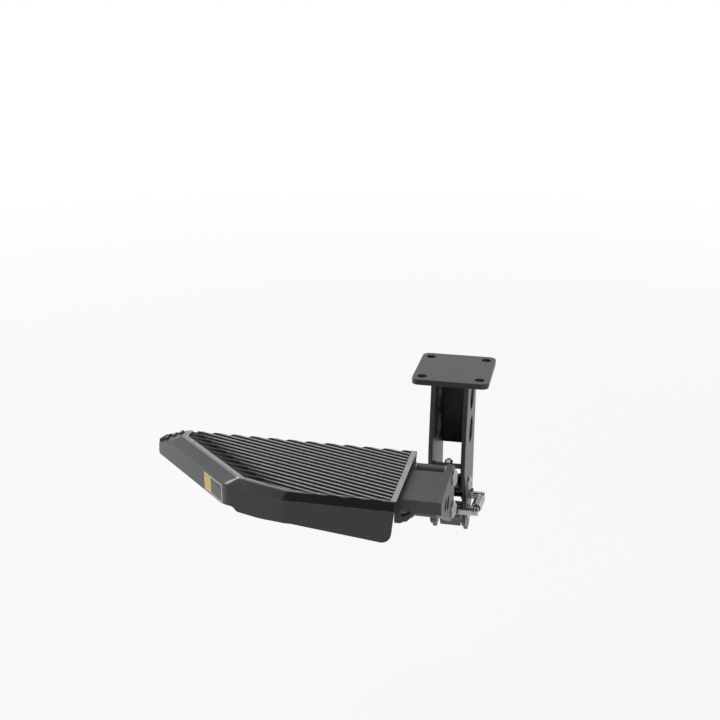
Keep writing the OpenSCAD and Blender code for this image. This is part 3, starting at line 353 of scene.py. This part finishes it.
def rounded(node, body, coats, width, segments=2, sharp=28):
    """The CAD node's own form with its edges rounded, as the piece that stands for the node.
    The second of two coats goes on the rounded outer edges."""
    piece = bpy.data.objects.new(node + "_made", plain_copy(node))
    scene.collection.objects.link(piece)
    piece.data.materials.clear()
    for coat in coats:
        piece.data.materials.append(coat)
    edges = piece.modifiers.new("edges", "BEVEL")
    edges.width = width
    edges.segments = segments
    edges.limit_method = "ANGLE"
    edges.angle_limit = math.radians(sharp)
    edges.use_clamp_overlap = False
    edges.miter_outer = "MITER_ARC"
    edges.material = len(coats) - 1
    piece.data.polygons.foreach_set("use_smooth", [True] * len(piece.data.polygons))
    shading = piece.modifiers.new("shading", "WEIGHTED_NORMAL")
    shading.keep_sharp = True
    settle(piece)
    if len(coats) > 1:
        keep_outer_edges(piece.data, 0, 1)
    return joined(piece, body, node)


deck_coat = powder_coat("deck_satin", DECK_GREY, RUBBED_AND_LIT_GREY, DECK_ROUGH, DECK_PEEL,
                        paler_where=wear_and_highlight_tops)
# The deck's rounded edges get a paler coat: scuffed wear and a painted highlight along each edge.
deck_edge_wear_and_highlight = powder_coat("deck_edge_wear_and_highlight", DECK_GREY, EDGE_RUBBED_AND_LIT, EDGE_ROUGH, DECK_PEEL, edge=True,
                        paler_where=wear_and_highlight_tops)
deck_piece = rounded("deck_casting", "deck", (deck_coat, deck_edge_wear_and_highlight), DECK_ROUND,
                     sharp=DECK_SHARP)

tread_floor = powder_coat("tread_floor", DECK_GREY, RUBBED_AND_LIT_GREY, FLOOR_ROUGH, CAST_PEEL,
                          gloss=FLOOR_GLOSS)
deck_piece.data.materials.append(tread_floor)
floor_level = DECK_HIGH.z - TREAD_DEPTH
for face in deck_piece.data.polygons:
    if face.normal.z > LEVEL_FACE and abs(face.center.z - floor_level) < FLOOR_BAND:
        face.material_index = 2


# Rib run-outs: left of each tread rib a ridge slopes down across the recess's floor, and ends
# as a low line at the corner rim. Each is part of the deck's own casting, rough as the floor is.
RUN_OUTS, RUN_LAP, RUN_STEPS = 10, 0.005, 28
RIM_END, BACK_GAP = 0.006, 0.004
SLOPE_FROM, SLOPE_TO, SLOPE_NARROWS = 0.05, 0.74, 0.4


def grown(name, places, sizes, build, coat, lines=(), marks=None):
    """A piece that Geometry Nodes grow on a few places. The sizes are the tree's inputs."""
    mesh = bpy.data.meshes.new(name)
    mesh.from_pydata([tuple(place) for place in places], lines, [])
    for mark, values in (marks or {}).items():
        mesh.attributes.new(mark, "FLOAT", "POINT").data.foreach_set("value", values)
    piece = bpy.data.objects.new(name, mesh)
    scene.collection.objects.link(piece)
    tree = bpy.data.node_groups.new(name, "GeometryNodeTree")
    doors = tree.interface
    doors.new_socket(name="Geometry", in_out="INPUT", socket_type="NodeSocketGeometry")
    doors.new_socket(name="Geometry", in_out="OUTPUT", socket_type="NodeSocketGeometry")
    sockets = {size: doors.new_socket(name=size, in_out="INPUT", socket_type="NodeSocketFloat")
               for size in sizes}
    entry = tree.nodes.new("NodeGroupInput")
    given = {key: Flow(tree, entry.outputs[key]) for key in ("Geometry", *sizes)}
    shape = build(**{key.lower(): flow for key, flow in given.items()})
    shape = shape.node("GeometryNodeRealizeInstances", inputs={"Geometry": shape})
    shape = shape.node("GeometryNodeSetMaterial", inputs={"Geometry": shape, "Material": coat})
    tree.links.new(shape.socket, tree.nodes.new("NodeGroupOutput").inputs[0])
    grower = piece.modifiers.new("grower", "NODES")
    grower.node_group = tree
    for size, socket in sockets.items():
        grower[socket.identifier] = sizes[size]
    settle(piece)
    if piece.data.materials[0] is None:
        piece.data.materials.pop(index=0)
        piece.data.polygons.foreach_set("material_index", [0] * len(piece.data.polygons))
    return piece


def vector(x, y, z):
    """Joins three numbers, one of them at least a Flow, to a vector."""
    flow = next(part for part in (x, y, z) if isinstance(part, Flow))
    return flow.node("ShaderNodeCombineXYZ", inputs={0: x, 1: y, 2: z})


def run_out(geometry, root, top, height, low, depth):
    """A ridge one metre long along -X, which is scaled to each point's own reach: a rib's
    section at its start, sinking in a smooth slope to a low flat line."""
    block = geometry.node("GeometryNodeMeshCube", inputs={
        "Size": (1.0, 1.0, 1.0), "Vertices X": RUN_STEPS, "Vertices Y": 2, "Vertices Z": 2})
    spot = block.node("ShaderNodeSeparateXYZ", inputs={
        0: block.node("GeometryNodeInputPosition")})
    along = 0.5 - spot
    crown = spot.other("Z") + 0.5
    sunk = along.rise(SLOPE_FROM, SLOPE_TO)
    rise = height + (low - height) * sunk
    half = root + (top - root) * crown * (1.0 - sunk * SLOPE_NARROWS)
    place = vector(along * -1.0, spot.other("Y") * half, crown * (rise + depth) - depth)
    block = block.node("GeometryNodeSetPosition", inputs={"Geometry": block, "Position": place})
    reach = geometry.node("GeometryNodeInputNamedAttribute", {"data_type": "FLOAT"},
                          {"Name": "reach"})
    return geometry.node("GeometryNodeInstanceOnPoints", inputs={
        "Points": geometry, "Instance": block, "Scale": vector(reach, 1.0, 1.0),
        "Rotation": (0.0, 0.0, math.atan2(RIB_WAY.y, RIB_WAY.x))})


tips, reaches = [], []
for k in range(RUN_OUTS):
    middle = DECK_CORNER + left_of(RIB_WAY) * (RIB_FIRST + k * RIB_PITCH)
    start = -RIM_CORNER - SMOOTH_FLOOR - (middle - DECK_CORNER).dot(CORNER_OUT)
    tip = middle + RIB_WAY * (start / RIB_WAY.dot(CORNER_OUT) + RUN_LAP)
    reach = SMOOTH_FLOOR / abs(RIB_WAY.dot(CORNER_OUT)) + 2 * RUN_LAP
    to_end = (tip.x - FREE_END_X - RIM_END) / RIB_WAY.x + RUN_LAP
    to_back = (DECK_HIGH.y - BACK_GAP - tip.y) / -RIB_WAY.y
    tips.append(Vector((tip.x, tip.y, floor_level)))
    reaches.append(min(reach, to_end, to_back))
run_sizes = {"Root": 0.0041, "Top": 0.0029, "Height": 0.00236, "Low": 0.0003, "Depth": 0.0004}
joined(grown("tread_run_outs", tips, run_sizes, run_out, tread_floor, marks={"reach": reaches}),
       "deck")


# Ejector marks: round pads under the tread, between the stiffening ribs, where the die's pins
# pushed the casting out. Part of the deck's own casting, under its coat.
RIB_GRID, GRID_X, GRID_Y, GRID_COLUMNS, GRID_ROWS = 0.036, 0.0755, 0.101, 6, 4
SKIN, PAD_CORNER, PAD_FRONT, PAD_SIDES = 0.008, 0.005, 0.02, 28


def ejector_pad(geometry, radius, proud):
    """A flat round pad at each point, half of it in the skin."""
    pad = geometry.node("GeometryNodeMeshCylinder", inputs={
        "Vertices": PAD_SIDES, "Radius": radius, "Depth": proud * 2.0})
    return geometry.node("GeometryNodeInstanceOnPoints", inputs={
        "Points": geometry, "Instance": pad})


pads = [DECK_CORNER + Vector((GRID_X - i * RIB_GRID, GRID_Y - j * RIB_GRID, -SKIN))
        for i in range(GRID_COLUMNS) for j in range(GRID_ROWS)]
pads = [pad for pad in pads if (pad - DECK_CORNER).dot(CORNER_OUT) < PAD_CORNER
        and pad.y > DECK_LOW.y + PAD_FRONT]
pad_sizes = {"Radius": 0.0035, "Proud": 0.0003}
joined(grown("ejector_marks", pads, pad_sizes, ejector_pad, deck_coat), "deck")


# Side marker: a thin painted aluminium plate, bonded to the skirt of the corner cut and blank.
# It bears a field of amber reflective sheet towards the free end and a grey one beside it.
MARKER_START, MARKER_TOP = 0.0150, 0.0118
MARKER_LONG, MARKER_HIGH, MARKER_R = 0.0456, 0.0240, 0.0018
MARKER_THICK, FIELD_THICK, MARKER_EDGE, AMBER_LONG = 0.0006, 0.0002, 0.0019, 0.0150
MARKER_SUNK, SKIRT_OUT, CORNER_STEPS, CARD_ROUND = 0.0001, 0.015, 4, 0.3
CELL, CELL_DEEP, CELL_DARK = 0.0016, 0.00002, 0.78
AMBER, SHEET_GREY = (0.94, 0.67, 0.10, 1.0), 0.075
MARKER_GREY, MARKER_RUBBED, MARKER_ROUGH, MARKER_PEEL = 0.58, 0.6, 0.35, 0.000004


def sheeting(name, colour):
    """Reflective sheet: a bright film over fine diamond cells, a little scratched."""
    made, place, shader = finish(name)
    spot = place.node("ShaderNodeSeparateXYZ", inputs={0: place})
    side, up = spot * CORNER_OUT.y - spot.other("Y") * CORNER_OUT.x, spot.other("Z")
    cells = place.node(
        "ShaderNodeTexVoronoi", {"feature": "DISTANCE_TO_EDGE", "voronoi_dimensions": "2D"},
        {"Vector": vector(side + up, side - up, 0.0), "Scale": 1.0 / CELL, "Randomness": 0.0})
    dirt = place.noise(90.0, 5.0).rise(0.5, 0.75)
    deep = tuple(part * CELL_DARK for part in colour[:3]) + (1.0,)
    film = cells.rise(0.02, 0.10).mix(deep, colour)
    bump = place.node("ShaderNodeBump", inputs={
        "Strength": 1.0, "Distance": CELL_DEEP, "Height": cells.rise(0.0, 0.08)})
    feed(place, shader, Base_Color=dirt.mix(film, deep), Roughness=dirt * 0.15 + 0.3,
         Normal=bump)
    return made


def card(name, coat, start, long, top, high, out, thick, radius):
    """A thin card with round corners on the corner skirt; start runs towards the free end."""
    along = Vector((CORNER_OUT.y, -CORNER_OUT.x, 0.0))
    foot = DECK_CORNER + CORNER_OUT * (SKIRT_OUT + out)
    shape = bmesh.new()
    ring = []
    for right, up, turn in ((0, 0, 0), (1, 0, 1), (1, 1, 2), (0, 1, 3)):
        middle = (start + radius + right * (long - 2 * radius),
                  -top - radius - (1 - up) * (high - 2 * radius))
        for step in range(CORNER_STEPS + 1):
            angle = math.pi + (turn + step / CORNER_STEPS) * math.pi / 2
            ring.append(foot + along * (middle[0] + radius * math.cos(angle))
                        + Vector((0.0, 0.0, middle[1] + radius * math.sin(angle))))
    base = shape.faces.new([shape.verts.new(point) for point in ring])
    raised = bmesh.ops.extrude_face_region(shape, geom=[base])
    bmesh.ops.translate(shape, vec=CORNER_OUT * thick,
                        verts=[part for part in raised["geom"]
                               if isinstance(part, bmesh.types.BMVert)])
    bmesh.ops.recalc_face_normals(shape, faces=shape.faces)
    mesh = bpy.data.meshes.new(name)
    shape.to_mesh(mesh)
    shape.free()
    piece = bpy.data.objects.new(name, mesh)
    scene.collection.objects.link(piece)
    mesh.materials.append(coat)
    edges = piece.modifiers.new("edges", "BEVEL")
    edges.width, edges.segments = thick * CARD_ROUND, 2
    settle(piece)
    return joined(piece, "deck")


marker_paint = powder_coat("marker_paint", MARKER_GREY, MARKER_RUBBED, MARKER_ROUGH, MARKER_PEEL)
card("marker_plate", marker_paint, MARKER_START, MARKER_LONG, MARKER_TOP, MARKER_HIGH,
     -MARKER_SUNK, MARKER_THICK, MARKER_R)
field_top, field_high = MARKER_TOP + MARKER_EDGE, MARKER_HIGH - 2 * MARKER_EDGE
field_out, grey_long = MARKER_THICK - MARKER_SUNK, MARKER_LONG - AMBER_LONG - 2.5 * MARKER_EDGE
card("marker_grey_field", sheeting("grey_sheet", grey(SHEET_GREY)),
     MARKER_START + MARKER_EDGE, grey_long, field_top, field_high, field_out, FIELD_THICK,
     MARKER_R / 2)
card("marker_amber_field", sheeting("amber_sheet", AMBER),
     MARKER_START + 1.5 * MARKER_EDGE + grey_long, AMBER_LONG, field_top, field_high,
     field_out, FIELD_THICK, MARKER_R / 2)


# Hinge yoke: a sand-cast aluminium piece whose two cheeks carry the deck's pivot pins. Its
# base plate is screwed up under the deck, and its rough skin has a satin dark coat.
YOKE_GREY, YOKE_RUBBED, YOKE_EDGE_RUBBED, YOKE_ROUND = 0.030, 0.2, 0.14, 0.0008
SAND_ROUGH, SAND_EDGE_ROUGH, SAND_PEEL = 0.45, 0.42, 0.00005
yoke_coat = powder_coat("yoke_satin", YOKE_GREY, YOKE_RUBBED, SAND_ROUGH, SAND_PEEL)
yoke_edge = powder_coat("yoke_edge", YOKE_GREY, YOKE_EDGE_RUBBED, SAND_EDGE_ROUGH, SAND_PEEL,
                        edge=True)
rounded("hinge_yoke", "deck", (yoke_coat, yoke_edge), YOKE_ROUND, 3)


# Yoke screws and washers: four socket cap screws in black oxide hold the yoke's base plate
# against the bosses under the deck, each through a zinc plated washer.
OXIDE, OXIDE_ROUGH, OXIDE_METAL = (0.035, 0.035, 0.038, 1.0), 0.38, 0.7
ZINC, ZINC_ROUGH = (0.62, 0.62, 0.58, 1.0), 0.34
STAINS, STAIN_DARK, STAIN_ROUGH = 60.0, 0.72, 0.18
SCREW_ROUND, SCREW_WASHER_ROUND = 0.0004, 0.0002


def plated(name, colour, roughness, metallic=1.0, grain=300.0, depth=0.00001):
    """Bare or plated metal: fine grain, faint stains and an uneven shine."""
    made, place, shader = finish(name)
    stain = place.noise(STAINS, 5.0)
    dull = tuple(STAIN_DARK * part for part in colour[:3]) + (1.0,)
    bump = place.node("ShaderNodeBump", inputs={
        "Strength": 1.0, "Distance": depth, "Height": place.noise(grain)})
    feed(place, shader, Base_Color=stain.rise(0.35, 0.7).mix(colour, dull), Metallic=metallic,
         Roughness=stain * STAIN_ROUGH + (roughness - STAIN_ROUGH / 2), Normal=bump)
    return made


black_oxide = plated("black_oxide", OXIDE, OXIDE_ROUGH, OXIDE_METAL)
zinc = plated("bright_zinc", ZINC, ZINC_ROUGH)
rounded("yoke_bolts", "deck", (black_oxide,), SCREW_ROUND)
rounded("yoke_washers", "deck", (zinc,), SCREW_WASHER_ROUND)


# Screw head knurls: fine upright ridges rolled into the steel of the four yoke screws' heads,
# under the same black oxide, for the fingers to turn them.
BOLT_XS, BOLT_YS = (-0.10049, -0.0445), (-0.27925, -0.23325)
HEAD_LOW, HEAD_HIGH, RIDGES = -0.0766, -0.0686, 54


def knurl(geometry, radius, ridge, long):
    """A ring of upright ridges round each point."""
    ring = geometry.node("GeometryNodeMeshCircle", inputs={
        "Vertices": RIDGES, "Radius": radius})
    bar = geometry.node("GeometryNodeMeshCube", inputs={"Size": vector(ridge, ridge, long)})
    turn = geometry.node("GeometryNodeInputIndex") * (2 * math.pi / RIDGES)
    teeth = ring.node("GeometryNodeInstanceOnPoints", inputs={
        "Points": ring, "Instance": bar, "Rotation": vector(0.0, 0.0, turn + math.pi / 4)})
    return geometry.node("GeometryNodeInstanceOnPoints", inputs={
        "Points": geometry, "Instance": teeth})


heads = [(x, y, (HEAD_LOW + HEAD_HIGH) / 2) for x in BOLT_XS for y in BOLT_YS]
knurl_sizes = {"Radius": 0.00635, "Ridge": 0.00046, "Long": 0.0062}
joined(grown("yoke_bolt_knurls", heads, knurl_sizes, knurl, black_oxide), "deck")


# Links: two parallel sand-cast aluminium arms with pockets in both faces and a satin dark
# coat. They hang on the bracket's two pivot pins and carry the yoke on two more.
LINK_GREY, LINK_RUBBED, LINK_EDGE_RUBBED, LINK_ROUND = 0.032, 0.22, 0.15, 0.0009
link_coat = powder_coat("link_satin", LINK_GREY, LINK_RUBBED, SAND_ROUGH, SAND_PEEL)
link_edge = powder_coat("link_edge", LINK_GREY, LINK_EDGE_RUBBED, SAND_EDGE_ROUGH, SAND_PEEL,
                        edge=True)
rounded("lower_link", "lower_arm", (link_coat, link_edge), LINK_ROUND, 3)
rounded("upper_link", "upper_arm", (link_coat, link_edge), LINK_ROUND, 3)


# Link bushes: flanged bushes of sintered bronze, pressed into both sides of the links' hubs.
# The pivot pins turn in them, and their flanges keep the hubs off the cheeks.
BRONZE, BRONZE_ROUGH, BRONZE_GRAIN, BRONZE_PORES = (0.60, 0.40, 0.17, 1.0), 0.42, 900.0, 0.00003
SMALL_ROUND = 0.0003
bronze = plated("sintered_bronze", BRONZE, BRONZE_ROUGH, 1.0, BRONZE_GRAIN, BRONZE_PORES)
rounded("lower_link_bushes", "lower_arm", (bronze,), SMALL_ROUND)
rounded("upper_link_bushes", "upper_arm", (bronze,), SMALL_ROUND)


# Pivot pins, lock nuts and washers: turned steel shoulder pins with domed socket heads run
# through the cheeks and the bushes, and zinc plated nuts with a round collar hold them.
PIN_METAL, PIN_ROUGH, PIN_ROUND = (0.42, 0.42, 0.43, 1.0), 0.30, 0.0004
pin_steel = plated("turned_steel", PIN_METAL, PIN_ROUGH)
for node, body in (("deck_pin_lower", "deck"), ("deck_pin_upper", "deck"),
                   ("base_pin_lower", "bracket"), ("base_pin_upper", "bracket")):
    rounded(node, body, (pin_steel,), PIN_ROUND)
for node, body in (("deck_pin_nuts", "deck"), ("deck_pin_washers", "deck"),
                   ("base_pin_nuts", "bracket"), ("base_pin_washers", "bracket")):
    rounded(node, body, (zinc,), SMALL_ROUND)


# Pin threads: a crest rolled into the steel of each pivot pin winds round its end, where it
# stands out of the lock nut.
THREAD_STEPS, CREST_SIDES = 30, 6
DECK_PIN_ENDS = [(-0.0397, -0.20225, z) for z in (-0.111, -0.067)]
BASE_PIN_ENDS = [(-0.0377, -0.008, z) for z in (-0.21428, -0.17028)]


def thread(geometry, radius, crest, turns, long):
    """A crest that winds along -X from each point."""
    helix = geometry.node("GeometryNodeCurveSpiral", inputs={
        "Resolution": THREAD_STEPS, "Rotations": turns, "Start Radius": radius,
        "End Radius": radius, "Height": long})
    helix = geometry.node("GeometryNodeInstanceOnPoints", inputs={
        "Points": geometry, "Instance": helix, "Rotation": (0.0, -math.pi / 2, 0.0)})
    helix = helix.node("GeometryNodeRealizeInstances", inputs={"Geometry": helix})
    ring = geometry.node("GeometryNodeCurvePrimitiveCircle", inputs={
        "Resolution": CREST_SIDES, "Radius": crest})
    return helix.node("GeometryNodeCurveToMesh", inputs={
        "Curve": helix, "Profile Curve": ring, "Fill Caps": True})


pin_crest = {"Radius": 0.00595, "Crest": 0.00028, "Turns": 1.4, "Long": 0.0014}
for name, body, ends in (("deck_pin_threads", "deck", DECK_PIN_ENDS),
                         ("base_pin_threads", "bracket", BASE_PIN_ENDS)):
    joined(grown(name, ends, pin_crest, thread, pin_steel), body)


# Mounting bracket: laser-cut steel plates, folded and welded under a thick flange that four
# bolts hold up from below. It is powder coated after welding.
BRACKET_GREY, BRACKET_RUBBED, BRACKET_EDGE_RUBBED = 0.020, 0.12, 0.10
BRACKET_ROUGH, BRACKET_EDGE_ROUGH, BRACKET_PEEL, BRACKET_ROUND = 0.4, 0.38, 0.00002, 0.0006
bracket_coat = powder_coat("bracket_satin", BRACKET_GREY, BRACKET_RUBBED, BRACKET_ROUGH,
                           BRACKET_PEEL)
bracket_edge = powder_coat("bracket_edge", BRACKET_GREY, BRACKET_EDGE_RUBBED,
                           BRACKET_EDGE_ROUGH, BRACKET_PEEL, edge=True)
rounded("mount_bracket", "bracket", (bracket_coat, bracket_edge), BRACKET_ROUND)


# Welds: rippled fillet beads of steel along the cheeks and the back plate under the flange, and
# on both faces of the bumper's plate, laid before the bracket was coated.
CHEEK_OUT, CHEEK_IN, FLANGE_LOW, PLATE_BACK = 0.0255, 0.0195, -0.008, 0.047
CHEEK_REACH, INNER_REACH, BACK_HALF = 0.044, 0.040, 0.0165
BACK_TOP, BACK_FOOT, PLATE_NEAR, PLATE_FAR = -0.012, -0.126, 0.032, 0.056
PLATE_FACES = (-0.0179, -0.0239)
BASE_Y, UPPER_Z, STOW_WAY = -0.008, -0.17028, Vector((-0.8829, 0.4695))
BEAD_SIDES, BEAD_CLOSE, RIPPLE = 14, 0.2, 0.0021
RIPPLE_HIGH, UNEVEN, UNEVEN_LUMPS, BEAD_LEAST = 0.055, 0.16, 160.0, 0.86


def bead(geometry, radius, ripple):
    """A bead along each line, thicker and thinner with its ripples and closed at its ends."""
    line = geometry.node("GeometryNodeMeshToCurve", inputs={"Mesh": geometry})
    line = line.node("GeometryNodeResampleCurve", {"mode": "LENGTH"},
                     {"Curve": line, "Length": ripple * BEAD_CLOSE})
    run = line.node("GeometryNodeSplineParameter", out="Length")
    share = run.other("Factor")
    wave = run * (2 * math.pi) / ripple
    spread = line.node("GeometryNodeInputPosition").noise(UNEVEN_LUMPS)
    thick = (wave.math("SINE", wave) * RIPPLE_HIGH + spread * UNEVEN + BEAD_LEAST) \
        * share.rise(-0.03, 0.02) * (1.0 - share.rise(0.98, 1.03))
    ring = geometry.node("GeometryNodeCurvePrimitiveCircle", inputs={
        "Resolution": BEAD_SIDES, "Radius": radius})
    shape = line.node("GeometryNodeCurveToMesh", inputs={
        "Curve": line, "Profile Curve": ring, "Scale": thick, "Fill Caps": True})
    return shape.node("GeometryNodeSetShadeSmooth", inputs={"Geometry": shape})


def plate_point(x, along, off):
    """A point on the bumper's plate: along the stowed link and off its line."""
    return (x, BASE_Y + STOW_WAY.x * along - STOW_WAY.y * off,
            UPPER_Z + STOW_WAY.y * along + STOW_WAY.x * off)


flange_runs = [((x, -CHEEK_REACH, FLANGE_LOW), (x, reach, FLANGE_LOW)) for x, reach in (
    (-CHEEK_OUT, CHEEK_REACH), (-CHEEK_IN, INNER_REACH), (CHEEK_IN, INNER_REACH),
    (CHEEK_OUT, CHEEK_REACH))]
flange_runs.append(((-BACK_HALF, PLATE_BACK, FLANGE_LOW), (BACK_HALF, PLATE_BACK, FLANGE_LOW)))
back_runs = [((x, PLATE_BACK, BACK_TOP), (x, PLATE_BACK, BACK_FOOT))
             for x in (-CHEEK_IN, CHEEK_IN)]
plate_runs = [(plate_point(x, PLATE_NEAR, off), plate_point(x, PLATE_FAR, off))
              for x in (-CHEEK_IN, CHEEK_IN) for off in PLATE_FACES]
for name, radius, runs in (("flange_welds", 0.0028, flange_runs),
                           ("back_plate_welds", 0.0024, back_runs),
                           ("bumper_plate_welds", 0.0018, plate_runs)):
    points = [point for pair in runs for point in pair]
    lines = [(i, i + 1) for i in range(0, len(points), 2)]
    bead_sizes = {"Radius": radius, "Ripple": RIPPLE}
    joined(grown(name, points, bead_sizes, bead, bracket_coat, lines), "bracket")


# Stops: a zinc plated cross bolt in a rubber sleeve catches the lower link's heel when the
# step is deployed. A rubber bumper, held by its bonded stud and a nut, meets the stowed link.
RUBBER_DARK, RUBBER_BLOOM, RUBBER_ROUGH, BLOOM_ROUGH = 0.012, 0.03, 0.62, 0.2
BLOOM_CLOUDS, RUBBER_GRAIN, RUBBER_PORES = 70.0, 500.0, 0.00005
SLEEVE_ROUND, BUMPER_ROUND, STOP_BOLT_END = 0.0008, 0.0010, (-0.0322, 0.01786, -0.19719)
rubber, rubber_place, rubber_shader = finish("dull_rubber")
bloom = rubber_place.noise(BLOOM_CLOUDS, 3.0)
feed(rubber_place, rubber_shader,
     Base_Color=bloom.mix(grey(RUBBER_DARK), grey(RUBBER_BLOOM)),
     Roughness=bloom * BLOOM_ROUGH + RUBBER_ROUGH,
     Normal=rubber_place.node("ShaderNodeBump", inputs={
         "Strength": 1.0, "Distance": RUBBER_PORES,
         "Height": rubber_place.noise(RUBBER_GRAIN, 3.0)}))
rounded("stop_bolt", "bracket", (zinc,), SMALL_ROUND)
rounded("stop_nut", "bracket", (zinc,), SMALL_ROUND)
stop_crest = {"Radius": 0.00395, "Crest": 0.00025, "Turns": 1.5, "Long": 0.0015}
joined(grown("stop_bolt_thread", [STOP_BOLT_END], stop_crest, thread, zinc),
       "bracket")
rounded("stop_sleeve", "bracket", (rubber,), SLEEVE_ROUND)
rounded("stow_bumper", "bracket", (rubber,), BUMPER_ROUND)
rounded("stow_bumper_nut", "bracket", (zinc,), SMALL_ROUND)


# Spring and posts: an extension spring of drawn steel wire, hooked over two turned steel posts.
# One post is screwed into the lower link's boss, and a nut holds the other in the bracket.
WIRE_METAL, WIRE_ROUGH, WIRE_SIDES, WIRE_CLOSE = (0.50, 0.50, 0.52, 1.0), 0.28, 14, 0.6
WIRE_R, COIL_R, LOOP_R = 0.0014, 0.0061, 0.0051
COIL_TURNS, COIL_PITCH, COIL_STEPS, CURVE_STEPS = 17, 0.00295, 14, 6
BRACKET_POST, LINK_POST = Vector((0.04, 0.03789, -0.21108)), Vector((0.04, -0.048615, -0.19269))
spring_wire = plated("drawn_wire", WIRE_METAL, WIRE_ROUGH)
rounded("link_spring_post", "lower_arm", (pin_steel,), SMALL_ROUND)
rounded("bracket_spring_post", "bracket", (pin_steel,), SMALL_ROUND)
rounded("spring_post_nut", "bracket", (zinc,), SMALL_ROUND)

pull = LINK_POST - BRACKET_POST
spring_long = pull.length
coil_start = (spring_long - COIL_TURNS * COIL_PITCH) / 2


def smooth_wire(geometry, radius):
    """A round wire swept along a smooth curve through the points."""
    line = geometry.node("GeometryNodeMeshToCurve", inputs={"Mesh": geometry})
    line = line.node("GeometryNodeCurveSplineType", {"spline_type": "CATMULL_ROM"},
                     {"Curve": line})
    line = line.node("GeometryNodeSetSplineResolution", inputs={
        "Geometry": line, "Resolution": CURVE_STEPS})
    line = line.node("GeometryNodeResampleCurve", {"mode": "LENGTH"},
                     {"Curve": line, "Length": radius * WIRE_CLOSE})
    ring = geometry.node("GeometryNodeCurvePrimitiveCircle", inputs={
        "Resolution": WIRE_SIDES, "Radius": radius})
    shape = line.node("GeometryNodeCurveToMesh", inputs={
        "Curve": line, "Profile Curve": ring, "Fill Caps": True})
    return shape.node("GeometryNodeSetShadeSmooth", inputs={"Geometry": shape})


# The hook's loop round its post, in degrees, and the two points that lead it into the coil
hook = [(0.0, -LOOP_R * math.cos(math.radians(angle)), LOOP_R * math.sin(math.radians(angle)))
        for angle in range(-110, 131, 24)]
hook += [(0.0, LOOP_R + 1.7 * WIRE_R, 0.55 * COIL_R),
         (-0.4 * WIRE_R, coil_start - 2.3 * WIRE_R, 0.8 * COIL_R)]
coil = []
for step in range(COIL_TURNS * COIL_STEPS + 1):
    turn = 2 * math.pi * step / COIL_STEPS
    coil.append((COIL_R * math.sin(turn), coil_start + COIL_PITCH * step / COIL_STEPS,
                 COIL_R * math.cos(turn)))
path = hook + coil + [(x, spring_long - y, z) for x, y, z in reversed(hook)]
spring_down = Vector((1.0, 0.0, 0.0)).cross(pull / spring_long)
path = [BRACKET_POST + Vector((x, 0.0, 0.0)) + pull / spring_long * y + spring_down * z
        for x, y, z in path]
links = [(i, i + 1) for i in range(len(path) - 1)]
joined(grown("over_centre_spring_made", path, {"Radius": WIRE_R}, smooth_wire, spring_wire,
             links), "spring", "over_centre_spring")
